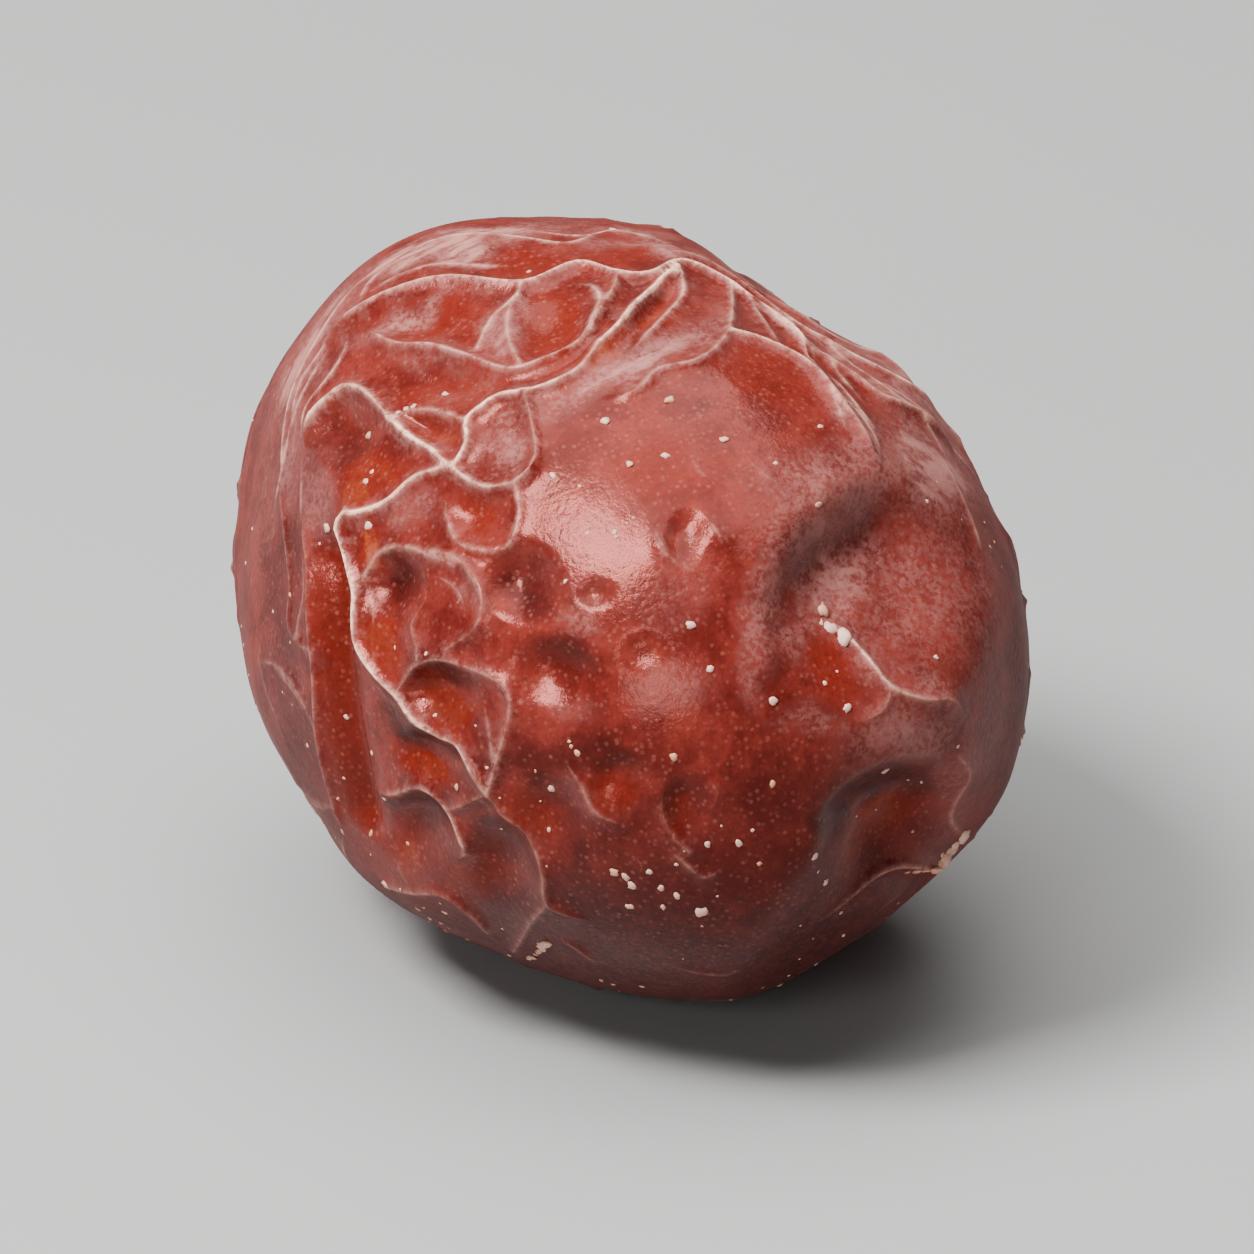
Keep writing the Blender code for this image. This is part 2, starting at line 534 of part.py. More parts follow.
def centre_over_origin(mesh):
    """Move the fruit so that the middle of its outline from above lies on the Z axis."""
    points = vertex_places(mesh)
    points[:, :2] -= (points[:, :2].min(axis=0) + points[:, :2].max(axis=0)) / 2
    points[points[:, 2] < FLAT_TOLERANCE, 2] = 0
    mesh.vertices.foreach_set("co", points.ravel())


def make_jujube():
    bpy.ops.mesh.primitive_ico_sphere_add(subdivisions=SPHERE_SUBDIVISIONS, radius=1)
    fruit = bpy.context.object
    fruit.name = "jujube"
    mesh = fruit.data
    mesh.name = "jujube"
    raise_skin(mesh)
    fewer = fruit.modifiers.new("Fewer triangles", "DECIMATE")
    fewer.ratio = TRIANGLES / len(mesh.polygons)
    fewer.use_collapse_triangulate = True
    bpy.ops.object.modifier_apply(modifier=fewer.name)
    centre_over_origin(mesh)
    mesh.materials.append(skin_material())
    mesh.shade_smooth()
    return fruit


def main():
    for old in list(bpy.data.objects):
        bpy.data.objects.remove(old)
    collection = bpy.data.collections.new("jujube")
    bpy.context.scene.collection.children.link(collection)
    fruit = make_jujube()
    for holder in list(fruit.users_collection):
        holder.objects.unlink(fruit)
    collection.objects.link(fruit)


main()
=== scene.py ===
import math

import bmesh
import bpy
import numpy as np
from mathutils import Matrix, Vector, noise


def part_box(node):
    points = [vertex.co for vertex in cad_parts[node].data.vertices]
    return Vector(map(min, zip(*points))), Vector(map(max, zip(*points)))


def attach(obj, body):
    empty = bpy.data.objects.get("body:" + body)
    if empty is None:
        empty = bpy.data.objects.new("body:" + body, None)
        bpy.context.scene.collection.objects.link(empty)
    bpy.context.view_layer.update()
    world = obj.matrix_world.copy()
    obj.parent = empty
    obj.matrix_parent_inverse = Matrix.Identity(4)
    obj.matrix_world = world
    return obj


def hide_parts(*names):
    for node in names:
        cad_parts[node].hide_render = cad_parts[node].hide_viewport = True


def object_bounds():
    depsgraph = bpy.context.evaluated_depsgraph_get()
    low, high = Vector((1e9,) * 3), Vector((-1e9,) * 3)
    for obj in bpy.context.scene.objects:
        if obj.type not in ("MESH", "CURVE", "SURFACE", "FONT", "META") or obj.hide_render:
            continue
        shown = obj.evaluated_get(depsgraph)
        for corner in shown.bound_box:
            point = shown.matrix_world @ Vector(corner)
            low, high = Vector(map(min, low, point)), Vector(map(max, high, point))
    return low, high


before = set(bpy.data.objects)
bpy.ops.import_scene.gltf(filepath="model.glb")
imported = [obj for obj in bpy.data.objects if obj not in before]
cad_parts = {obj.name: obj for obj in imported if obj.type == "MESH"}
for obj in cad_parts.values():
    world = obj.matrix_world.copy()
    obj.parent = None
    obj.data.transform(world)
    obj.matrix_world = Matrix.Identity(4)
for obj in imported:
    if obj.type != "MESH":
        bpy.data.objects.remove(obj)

CAD_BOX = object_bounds()
MIDDLE = (Vector(CAD_BOX[0]) + Vector(CAD_BOX[1])) / 2

MM = 0.001

# Driving dimensions
BODY_LENGTH = 25.1 * MM
BODY_WIDTH = 18.4 * MM
BLUNTNESS = 2.12  # 2 is an ellipsoid, more has squarer ends
STEM_SHOULDER = 0.03  # how much wider the stem half is than the tip half
TIP_TURN = Matrix.Rotation(math.radians(3), 3, "Y")  # the tip end lies a little lower than the stem end
FLAT_DEPTH = 0.3 * MM  # how far the underside is pressed flat
FLAT_CLEAR = 4.2 * MM  # folds fade out within this distance of the lowest point
FLAT_BARE = 0.6 * FLAT_CLEAR  # and are gone within this one

# The view in which the folds below were drawn, which is also the camera's, in degrees
SIGHT_AZIMUTH = 61
SIGHT_ELEVATION = 24
SIGHT_STEPS = 1200
EDGE_SHRINK = 0.8  # a place drawn past the edge is drawn in, at most to this share of its distance
EDGE_STEPS = 101

# Where the drawn view ends: 1 is where the body faces the viewer, 0 its edge and less than 0 behind it
HIDDEN_FADE = (0.06, -0.24)  # the net and the dents of the hidden side start here and are full here
DENT_FADE = (-1.5 * MM, -6.1 * MM)  # drawn dents start to fade this near to the viewer and are gone here

# Cross-section of a fold: a crisp crest on a broad foot that falls away to the floors on both sides
CREST_REACH = 0.16 * MM
FOOT_REACH = 0.75 * MM
FOOT_SHARE = 0.35
CREST_RADIUS = 0.05 * MM
BLEND_POWER = 4  # how folds that meet are joined: more is sharper
END_TAPER = 1.0 * MM
JOIN_DISTANCE = 0.4 * MM
LINE_STEP = 0.25 * MM

# The net of folds on the skin that the drawn view doesn't show, between seeded cells
NET_SEED = 11
NET_CELLS = 230
NET_JITTER = 0.10
NET_WARP = 1.0 * MM
NET_WARP_LENGTH = 2.3 * MM
NET_LINE_POINTS = 7
NET_HEIGHT = (0.14 * MM, 0.34 * MM)
NET_KEPT = 0.92
NET_PATCH_LENGTH = 5.0 * MM
NET_PATCH_EDGE = -0.45  # the net lies where the patch noise is above this

# Wrinkles beside the net, which run lengthwise
WRINKLE_HEIGHT = 0.28 * MM
WRINKLE_LENGTH = 7.5 * MM
WRINKLE_SPACING = 2.9 * MM
WRINKLE_WARP = 0.8 * MM
WRINKLE_NARROWNESS = 2.2
WRINKLE_SHARPNESS = 1.5
WRINKLE_PATCH_EDGES = (-0.20, -0.45)  # they start at the first patch noise and are full at the second

# Places in the noise that each use of it reads from
WARP_PLACES = (3.1, 7.7, 12.3)
BEND_PLACES = (4.2, 8.8, 13.4)
PATCH_PLACE = 20.5
WRINKLE_PLACE = 31.7
SWELL_PLACE = 1.5

# Broad shape of the skin; a drawn dent is deeper on the side that it leans to
DENT_PROFILE = (1.15, 0.15)  # a dent starts and is full at these shares of its radius
DENT_LEAN = 0.55
DENT_LEAN_ANGLE = math.radians(125)
SWELL_LENGTH = 8 * MM
SWELL_HEIGHT = 0.22 * MM
DENT_SEED = 4
HIDDEN_DENTS = 26
HIDDEN_DENT_JITTER = 0.15
HIDDEN_DENT_EDGE = 0.05  # they may lie this far in front of the edge of the drawn view
HIDDEN_DENT_RADIUS = (1.2 * MM, 2.8 * MM)
HIDDEN_DENT_DEPTH = (0.12 * MM, 0.55 * MM)

# Stem basin and the scar in it
BASIN_RADIUS = 3.2 * MM
BASIN_DEPTH = 1.45 * MM
BASIN_FLOOR = 0.30  # the floor, rim and pleats lie at these shares of the basin's radius
BASIN_RIM = 1.08
BASIN_RIM_WIDTH = 0.22
BASIN_RIM_HEIGHT = 0.22 * MM
BASIN_CLEARING = (1.6, 1.1)  # folds start to fade at the first of these shares and are gone at the second
PLEATS_START = (0.42, 0.62)
PLEATS_END = (1.45, 0.95)
PLEATS = 15
PLEAT_DEPTH = 0.17 * MM
SCAR_RING_RADIUS = 1.1 * MM
SCAR_RING_WIDTH = 0.24 * MM
SCAR_RING_HEIGHT = 0.30 * MM
SCAR_PIT_RADIUS = 0.8 * MM
SCAR_PIT_FLOOR = 0.45 * SCAR_PIT_RADIUS
SCAR_PIT_DEPTH = 0.35 * MM

# Mesh
SPHERE_SUBDIVISIONS = 8
TRIANGLES = 190000
GATHER = 0.13 * MM  # vertices this near a crest move onto it
NORMAL_STEP = 0.004  # how far apart the directions are that give the skin's normal
SIDE_GUIDE = (0.3, 0.5, 0.8)

# Edges of the colour patches, as shares of their size: where they start and where they are full
CRISP_EDGE = (1.35, 0.55)
SOFT_EDGE = (1.5, 0.35)
PATCH_WARP = 0.45 * MM
PATCH_WARP_LENGTH = 1.1 * MM
PATCH_WARP_PLACES = (61.2, 63.9, 67.4)
PATCH_FADE = (-BODY_WIDTH / 6, 0)  # they start this far behind the fruit's middle and are full here

# Colour where nothing is drawn: a noise's length, its place, and where it starts and is full
HIDDEN_FLOOR = (4.0 * MM, 41.3, -0.35, 0.25)
HIDDEN_FILM = (5.0 * MM, 43.9, -0.10, 0.50)
HIDDEN_DARK = (3.5 * MM, 47.1, 0.0, 0.50)
FLOOR_GAP = (0.25, 0.50)  # floors start this far from a crest and are full here, in mm
WIDEST_GAP = 2.0  # mm
SCAR_EDGE = (1.35, 1.10)  # shares of the ring's radius

# Specks and crusts are drops, longer than they are wide by a random share and turned at random
SPECK_SEED = 5
SPECK_SCALE = 0.8  # of the drawn half-widths
SPECK_STRETCH = (1.0, 1.4)
SPECK_TURN = (0, 3)
SPECK_FLATNESS = 0.5
SPECK_LUMPS = 0.7
SPECK_LUMP_RATE = 1.2
SPECK_LUMP_PLACES = (-40, 40)
CRUST_STRETCH = (1.0, 1.5)
CRUST_SIZE = (0.8, 1.2)  # of the drawn half-width
CRUST_SPREAD = 0.2
SMALL_SPECKS = 800
SMALL_SPECK_JITTER = 0.12
SMALL_SPECK_STRETCH = (1.0, 1.6)
SMALL_SPECK_SIZE = (0.025 * MM, 0.065 * MM)
SMALL_SPECK_LENGTH = 4 * MM  # of the noise that says where they lie
SMALL_SPECK_PLACE = 71.9
LOWER_HALF_SHARE = 0.6  # how much likelier they are on the lower half
LOWEST_SPECK = 0.15 * MM

# Colours
BASE_LIT = (0.145, 0.0180, 0.0130, 1)
BASE_DEEP = (0.078, 0.0078, 0.0060, 1)
FLOOR_RED = (0.130, 0.0105, 0.0055, 1)
ORANGE = (0.235, 0.0400, 0.0130, 1)
# Maroon: the skin's own darker grain, and the colour of the painted shade
MAROON = (0.022, 0.0026, 0.0025, 1)
# Film and bloom pinks: the skin's dull bloom, and also the painted highlights and the painted sheen along
# the outline
FILM_AND_HIGHLIGHT_PINK = (0.195, 0.0660, 0.0590, 1)
BLOOM_AND_SHEEN_PINK = (0.400, 0.1750, 0.1500, 1)
STIPPLE = (0.340, 0.1150, 0.0850, 1)
CREST = (0.860, 0.5000, 0.3400, 1)
SCAR = (0.260, 0.1150, 0.0450, 1)
SPECK_PALE = (0.56, 0.32, 0.25, 1)
SPECK_TAN = (0.46, 0.20, 0.11, 1)
FLOOR = (0.29, 0.287, 0.283, 1)

# Noises of the skin: features in each millimetre, detail, roughness and warp
PATCHY = (0.8, 4, 0.6, 0.4)
GRAIN = (6.5, 2, 0.6)
MOTTLE = (2.4, 4, 0.7, 0.3)
STREAKS = (2.6, 3, 0.6, 0.3)
STREAK_SHAPE = (1.0, 0.3, 0.3)  # drawn out round the fruit
DOTS = 6.0  # in each millimetre

# Where the pale line of a fold, its foot and its halo start and are full, in mm from the crest
LINE_REACH = (0.085, 0.015)
FOOT_LINE_REACH = (0.19, 0.02)
HALO_REACH = (0.65, 0.15)
LINE_JITTER = 0.015  # mm
FAINT_LINE = 0.04  # mm that a faint line is narrower by

# What the skin's shader is set to all over
BUMP_STRENGTH = 0.6
BUMP_DISTANCE = 0.020 * MM
SKIN_GLOSS = {
    "Specular IOR Level": 0.30,
    "Specular Tint": (1.0, 0.30, 0.25, 1),
    "Sheen Weight": 0.03,
    "Sheen Roughness": 0.35,
    "Sheen Tint": (1.0, 0.62, 0.58, 1),
    "Subsurface Weight": 0.08,
    "Subsurface Radius": (0.8 * MM, 0.25 * MM, 0.12 * MM),
    "Subsurface Scale": 1.0,
}

# Camera, floor and surroundings
CAMERA_DISTANCE = 0.55
CAMERA_WIDTH = 32 * MM  # how much the picture takes in across the fruit
CAMERA_UP = -0.6 * MM
CAMERA_NEAR = 0.01
FLOOR_SIZE = 6
FLOOR_ROUGHNESS = 0.7
AIR = (1.0, 0.985, 0.97, 1)
AIR_STRENGTH = 0.08

# Lights: degrees from the camera's azimuth, elevation, width and height in metres, and power in watts
LIGHT_DISTANCE = 0.30
LIGHTS = {
    "key": (-59, 55, 0.14, 0.095, 2.50),
    "side": (-21, 20, 0.07, 0.10, 0.35),
    "sky": (-150, 86, 0.30, 0.30, 1.7),
}

STRENGTH_SEED = 3
NET_STRENGTH = (0.20, 0.75)  # how strongly the pale line shows at the ends of the net's folds

# Fine folds as drawn in the view: height in mm, strength of the pale line, then points
FINE_FOLDS = [
    (0.09, 0.65, [(-9.3, 3.2), (-9.0, 4.6), (-8.5, 5.8), (-7.7, 7.0), (-6.9, 7.9), (-6.1, 8.6)]),
    (0.08, 0.62, [(-8.4, 4.2), (-8.25, 5.1), (-7.7, 5.8), (-7.15, 6.5), (-6.9, 7.1)]),
    (0.08, 0.6, [(-8.8, 4.6), (-8.3, 5.9), (-7.6, 6.7), (-7.0, 7.2)]),
    (0.09, 0.62, [(-6.7, 7.35), (-6.4, 8.0), (-5.8, 8.5), (-5.0, 8.9), (-4.2, 9.2)]),
    (0.12, 0.62, [(-5.6, 8.75), (-4.6, 9.15), (-3.6, 9.4), (-2.6, 9.45), (-1.5, 9.4), (-0.6, 9.7)]),
    (0.09, 0.65, [(-3.0, 9.7), (-1.2, 9.6), (-0.4, 9.75), (0.4, 9.6), (1.2, 9.4)]),
    (0.08, 0.6, [(-4.9, 6.9), (-4.4, 7.2), (-4.1, 7.6)]),
    (0.09, 0.62, [(-1.7, 6.4), (-1.2, 6.75), (-0.9, 7.3), (-0.75, 7.9), (-1.0, 8.25), (-1.6, 8.3)]),
    (0.08, 1.0, [(-5.75, 5.0), (-5.4, 5.2)]),
    (0.12, 1.0, [(-6.75, 3.15), (-6.4, 3.55)]),
    (0.09, 0.62, [(-3.5, 4.75), (-3.0, 5.0), (-2.6, 4.9)]),
    (0.09, 0.62, [(-2.9, 3.2), (-2.35, 3.6)]),
    (0.06, 0.35, [(-6.85, 1.2), (-6.55, 0.2), (-6.4, -0.6)]),
    (0.05, 0.35, [(-5.0, 1.0), (-4.3, 0.6), (-4.0, -0.2)]),
    (0.05, 0.35, [(-8.6, 1.8), (-8.4, 0.6), (-8.5, -0.4), (-8.1, -1.2)]),
    (0.05, 0.35, [(-9.6, -0.6), (-9.3, -1.7), (-8.9, -2.6), (-8.6, -3.4)]),
    (0.05, 0.35, [(-9.1, -1.3), (-8.4, -2.0), (-7.9, -2.9)]),
    (0.05, 0.4, [(-8.7, -3.9), (-8.1, -4.7), (-7.4, -4.9)]),
    (0.05, 0.4, [(-8.0, -5.1), (-7.4, -6.0), (-6.8, -6.7), (-6.0, -7.4), (-5.2, -8.0)]),
    (0.06, 0.5, [(-7.1, -5.4), (-6.9, -6.1), (-6.4, -6.8)]),
    (0.06, 0.55, [(-5.75, -6.0), (-5.6, -6.4), (-5.2, -6.8)]),
    (0.12, 0.62, [(2.2, 8.7), (3.0, 8.35), (3.8, 7.7), (4.4, 6.9), (4.75, 6.2)]),
    (0.09, 0.62, [(4.5, 6.3), (5.0, 5.5), (5.6, 4.9), (6.0, 4.3), (6.2, 3.6)]),
    (0.09, 0.65, [(4.75, 6.2), (5.4, 5.4), (5.9, 4.7), (6.4, 4.2)]),
    (0.09, 0.62, [(5.2, 6.5), (5.8, 5.8), (6.5, 5.3), (7.2, 4.9), (8.0, 4.3)]),
    (0.11, 0.62, [(2.6, 9.05), (3.6, 8.5), (4.5, 7.9), (5.5, 7.25), (6.5, 6.6), (7.4, 5.9)]),
    (0.09, 0.62, [(6.7, 5.3), (7.5, 4.7), (8.2, 4.0), (8.8, 3.3)]),
    (0.12, 0.62, [(8.5, 3.75), (8.9, 3.15)]),
    (0.05, 0.45, [(9.2, 2.6), (9.6, 1.7), (9.9, 0.9)]),
    (0.06, 0.6, [(2.25, 6.0), (2.75, 5.4)]),
    (0.06, 0.6, [(1.9, 5.1), (2.25, 4.6)]),
    (0.08, 0.65, [(2.1, 3.2), (2.8, 3.1)]),
    (0.06, 0.6, [(2.8, 3.9), (3.3, 3.4), (3.8, 3.15)]),
    (0.08, 0.62, [(3.55, 3.95), (3.8, 3.5)]),
    (0.04, 0.4, [(-1.9, -5.9), (-1.4, -5.8)]),
    (0.05, 0.5, [(-0.1, -6.0), (0.3, -6.3), (0.2, -6.7)]),
    (0.04, 0.45, [(2.5, -4.8), (2.8, -4.45)]),
    (0.04, 0.45, [(4.1, -5.0), (4.45, -4.8)]),
    (0.04, 0.45, [(4.05, -5.5), (4.35, -5.7)]),
    (0.04, 0.45, [(4.65, -5.6), (4.85, -5.25)]),
    (0.05, 0.35, [(5.0, -4.4), (5.4, -4.9)]),
    (0.05, 0.45, [(8.1, -3.4), (8.7, -4.1), (8.6, -4.8), (8.5, -5.5), (8.8, -5.9)]),
    (0.04, 0.3, [(6.0, -8.4), (6.9, -7.7), (7.7, -7.2)]),
    (0.05, 0.35, [(2.2, -9.0), (2.6, -9.3)]),
    (0.07, 0.6, [(-9.6, 2.4), (-9.1, 4.0), (-8.4, 5.4), (-7.4, 6.8)]),
    (0.07, 0.6, [(-7.4, 8.0), (-6.2, 8.9), (-5.0, 9.4), (-3.6, 9.75)]),
    (0.06, 0.55, [(-6.6, 7.7), (-5.4, 8.35), (-4.0, 8.75), (-2.8, 8.95)]),
    (0.06, 0.5, [(-8.7, 2.2), (-8.6, 3.4), (-8.5, 4.2)]),
    (0.08, 0.62, [(3.1, 8.0), (4.0, 7.2), (4.6, 6.2), (5.0, 5.2), (5.4, 4.3)]),
    (0.07, 0.6, [(3.6, 8.1), (4.6, 7.0), (5.3, 5.9), (6.0, 5.0)]),
    (0.07, 0.6, [(4.6, 7.4), (5.6, 6.4), (6.6, 5.5), (7.5, 4.5), (8.2, 3.5)]),
    (0.06, 0.55, [(6.0, 6.6), (7.0, 5.7), (7.9, 4.8), (8.7, 3.9)]),
    (0.06, 0.55, [(7.6, 4.2), (8.2, 3.2), (8.7, 2.2), (9.0, 1.2)]),
    # The last three are low folds whose pale lines are painted glints on the rims of the hollow and of the
    # small pit
    (0.06, 1.0, [(-4.15, 1.15), (-3.8, 0.8), (-3.62, 0.25)]),
    (0.06, 1.0, [(1.75, 2.5), (2.05, 2.1), (2.35, 1.6)]),
    (0.05, 0.8, [(0.55, 2.2), (0.85, 1.6), (1.3, 1.15)]),
]

# Patches of colour as drawn in the view: middle, half-width and half-height in mm, turn, strength
RED_PATCHES = [
    (-2.0, 7.2, 0.9, 0.9, 0, 1.0), (-4.8, 7.2, 1.6, 0.55, 12, 0.9), (0.45, 7.45, 0.25, 1.0, -40, 1.1),
    (-3.6, 5.75, 2.4, 0.45, 14, 1.0), (-0.7, 6.3, 0.6, 0.3, 40, 1.5), (-5.0, 4.45, 0.8, 0.4, -20, 1.1),
    (-6.9, 2.9, 0.55, 0.7, 0, 1.2), (-6.4, 3.7, 0.9, 0.5, -20, 1.1), (-6.7, 1.7, 0.25, 0.6, 10, 1.4),
    (-7.45, -0.6, 0.62, 3.0, 6, 1.0), (-6.95, -4.4, 0.6, 2.2, 14, 1.0), (-6.3, -0.8, 0.4, 0.9, 20, 1.1),
    (-4.7, -2.2, 0.9, 0.6, -20, 1.1), (-5.0, -3.9, 0.9, 0.4, -20, 1.1), (-2.5, -5.1, 1.0, 0.6, -20, 1.0),
    (-4.0, -6.6, 0.8, 0.5, -20, 1.1), (-0.6, -4.5, 0.6, 0.5, 0, 0.9), (-5.5, -6.1, 0.7, 0.6, -30, 1.15),
    (-1.5, 8.8, 2.2, 0.35, 4, 0.8), (3.2, 6.1, 1.4, 0.8, -20, 0.6), (1.0, 3.6, 1.5, 0.7, 0, 0.7),
    (5.3, -1.3, 0.75, 0.85, 25, 0.8), (7.8, 0.0, 1.0, 2.0, 4, 0.4), (6.5, -5.9, 1.5, 0.5, 42, 1.3),
    (7.5, -5.2, 0.6, 0.45, 0, 0.7), (3.1, 2.2, 0.6, 0.8, 0, 0.6), (-3.9, 2.4, 0.7, 0.6, 0, 0.5),
    (1.3, -4.9, 0.5, 0.7, 0, 0.7), (8.0, -1.3, 0.55, 0.6, 0, 0.9), (-3.9, 2.4, 0.6, 0.7, 0, 0.9),
]
# Pale film: partly the skin's own dull bloom, partly painted highlights round the middle and painted sheen
# along the outline
FILM_AND_HIGHLIGHT_PATCHES = [
    (-0.6, 1.5, 2.0, 1.2, 20, 0.25), (-3.6, 5.7, 1.6, 0.4, 14, 0.35), (0.9, -1.9, 1.0, 0.5, 0, 0.6),
    (-1.2, -0.3, 0.6, 0.5, 0, 0.6), (0.0, 6.0, 2.8, 0.5, 22, 1.2), (-2.9, 4.0, 0.6, 0.9, 0, 1.0),
    (-5.6, 7.4, 1.6, 0.3, 24, 1.1), (1.9, 6.9, 0.6, 0.7, 0, 0.7), (-3.2, 7.0, 0.5, 0.9, -12, 1.2),
    (5.6, 3.2, 2.6, 1.2, 20, 1.0), (7.6, 3.6, 1.7, 1.0, -40, 1.25), (5.6, 0.9, 1.6, 1.1, 45, 1.1),
    (7.7, 0.4, 1.6, 2.2, 0, 0.7), (5.9, -0.5, 0.5, 1.7, 30, 0.8), (3.4, 0.2, 0.6, 2.2, -10, 1.0),
    (9.2, 0.2, 0.45, 2.4, 4, 0.8), (4.6, 2.2, 1.2, 0.9, 45, 1.05), (4.3, -0.5, 0.5, 0.7, 0, 0.8),
    (7.4, -2.3, 1.4, 0.8, 20, 0.9), (6.9, -3.1, 1.6, 0.9, 10, 1.1), (8.5, -4.2, 0.35, 1.4, 10, 0.6),
    (4.7, -2.7, 1.0, 0.4, 0, 0.7), (8.6, 3.6, 0.8, 1.8, -30, 0.95), (-8.6, 5.0, 0.5, 1.8, 20, 0.45),
    (-8.1, 6.8, 0.6, 2.6, -38, 1.25), (-9.6, 3.4, 0.5, 2.6, -12, 0.55), (-4.4, 9.1, 3.2, 0.35, 19, 1.3),
    (-8.9, 4.2, 0.4, 1.4, -16, 1.0), (6.6, 5.9, 3.4, 0.5, -42, 1.2), (1.0, 9.3, 2.4, 0.3, -8, 1.1),
    (-5.5, 2.6, 0.8, 0.5, 20, 0.9), (-8.3, 2.9, 0.6, 1.0, 0, 0.8), (-1.6, -2.45, 0.8, 0.3, -30, 0.5),
    (-3.7, 0.4, 0.25, 0.7, 25, 0.6), (-5.0, 6.5, 1.0, 0.4, -12, 0.5), (1.0, 0.6, 1.0, 0.8, 0, 0.3),
]
# Painted shade: darker maroon laid into the dents' walls, the pockets, under folds and over the lower part
# of the fruit, along with some of the skin's own maroon tone
SHADE_AND_MAROON_PATCHES = [
    (-9.0, 0.6, 0.7, 3.0, 4, 0.55), (-7.45, -0.6, 0.6, 3.0, 6, 0.5), (-6.95, -4.4, 0.6, 2.0, 14, 0.4),
    (-8.4, -3.0, 0.6, 2.2, 14, 0.5), (-3.9, -3.5, 0.9, 0.3, -20, 0.6), (-4.9, -2.3, 1.0, 0.7, -20, 0.3),
    (5.75, 1.85, 1.3, 0.42, 34, 0.45), (4.45, 1.0, 0.9, 0.32, 55, 0.4), (3.85, -0.5, 0.28, 1.0, -12, 0.5),
    (1.6, -6.0, 4.6, 1.9, -6, 0.45), (-4.0, -5.4, 2.6, 2.0, -40, 0.25), (6.7, -4.6, 1.7, 0.65, 4, 1.0),
    (5.3, -5.4, 0.55, 1.0, -22, 0.95), (4.4, -6.6, 1.0, 1.0, 0, 0.6), (-7.5, 4.5, 0.7, 0.8, 0, 0.6),
    (-6.1, 0.8, 0.5, 0.5, 0, 0.9), (-2.6, 0.5, 0.8, 0.5, -40, 0.9), (-1.5, -1.2, 0.9, 0.45, -20, 0.5),
    (0.5, -1.1, 0.35, 0.35, 0, 0.7), (-1.4, -3.6, 1.8, 0.4, 0, 0.8), (-2.6, -3.7, 0.5, 0.5, 0, 0.7),
    (-1.4, -6.4, 0.7, 0.7, 0, 0.8), (0.0, -8.8, 7.5, 2.6, 0, 0.95), (-1.8, -7.4, 3.2, 0.9, -8, 0.65),
    (-3.4, -5.3, 0.5, 0.3, -30, 0.8), (-5.5, -4.8, 0.7, 0.25, 0, 0.8), (4.8, -8.4, 3.6, 1.3, 38, 0.95),
    (3.4, -4.4, 1.0, 1.4, 0, 0.5), (-5.6, -2.8, 0.7, 0.3, -30, 0.9), (1.4, 1.7, 0.3, 0.5, 0, 0.7),
    (-4.6, -1.4, 0.8, 0.25, 0, 0.8), (-1.2, 0.25, 0.4, 0.25, 0, 0.6), (-4.9, -8.0, 2.2, 0.7, -36, 0.8),
    (-4.6, -5.2, 0.6, 0.25, -20, 0.8), (-2.4, -4.0, 0.5, 0.25, -20, 0.8), (-7.9, -5.0, 0.7, 2.6, 24, 0.7),
    (1.3, -4.5, 0.4, 0.35, 0, 0.6), (9.9, -1.5, 0.4, 2.5, 0, 0.5),
]

# Specks as drawn in the view: place in mm right of and above the fruit's middle, and half-width in mm
SPECKS = [
    (-0.4, 10.0, 0.2), (-2.6, 8.8, 0.1), (-4.7, 5.6, 0.12), (-6.9, 4.7, 0.15), (-7.8, 2.2, 0.16),
    (-6.6, 2.2, 0.15), (-0.6, 4.8, 0.14), (-1.9, 3.4, 0.1), (0.0, 3.7, 0.12), (0.9, 3.9, 0.11),
    (1.0, 5.3, 0.13), (2.35, 4.3, 0.11), (4.7, 4.6, 0.1), (3.6, 3.7, 0.1), (4.7, 2.7, 0.1),
    (1.5, -0.3, 0.13), (2.0, -1.4, 0.1), (3.6, -2.2, 0.13), (5.5, -2.4, 0.12), (5.0, -1.8, 0.08),
    (1.1, -3.6, 0.12), (6.8, -4.2, 0.11), (3.6, -4.3, 0.09), (1.8, -7.5, 0.18), (0.0, -7.4, 0.13),
    (-5.9, -6.6, 0.17), (-1.3, -3.5, 0.1), (-2.0, -4.5, 0.12), (4.7, -6.2, 0.1), (2.75, -5.8, 0.11),
    (1.95, -5.8, 0.1), (5.1, -7.0, 0.1), (4.0, -9.9, 0.1), (0.5, -6.5, 0.11), (0.8, -6.9, 0.1),
    (1.2, -7.1, 0.11),
]

# Crusts as drawn in the view: half-width in mm at the first and at the last point, then points
CRUSTS = [
    (0.09, 0.12, [(-6.85, 3.1), (-6.55, 3.55)]),
    (0.07, 0.09, [(-5.75, 5.0), (-5.4, 5.2)]),
    (0.09, 0.24, [(7.5, -7.0), (8.0, -6.7), (8.4, -6.3), (8.75, -5.8)]),
    (0.08, 0.22, [(5.2, -0.25), (5.4, -0.48), (5.72, -0.62)]),
    (0.12, 0.13, [(5.25, 0.05), (5.28, 0.15)]),
    (0.12, 0.09, [(-0.35, -6.55), (-0.1, -6.65), (0.05, -6.85)]),
    (0.07, 0.11, [(-2.55, -8.75), (-2.3, -8.55), (-2.1, -8.35)]),
]

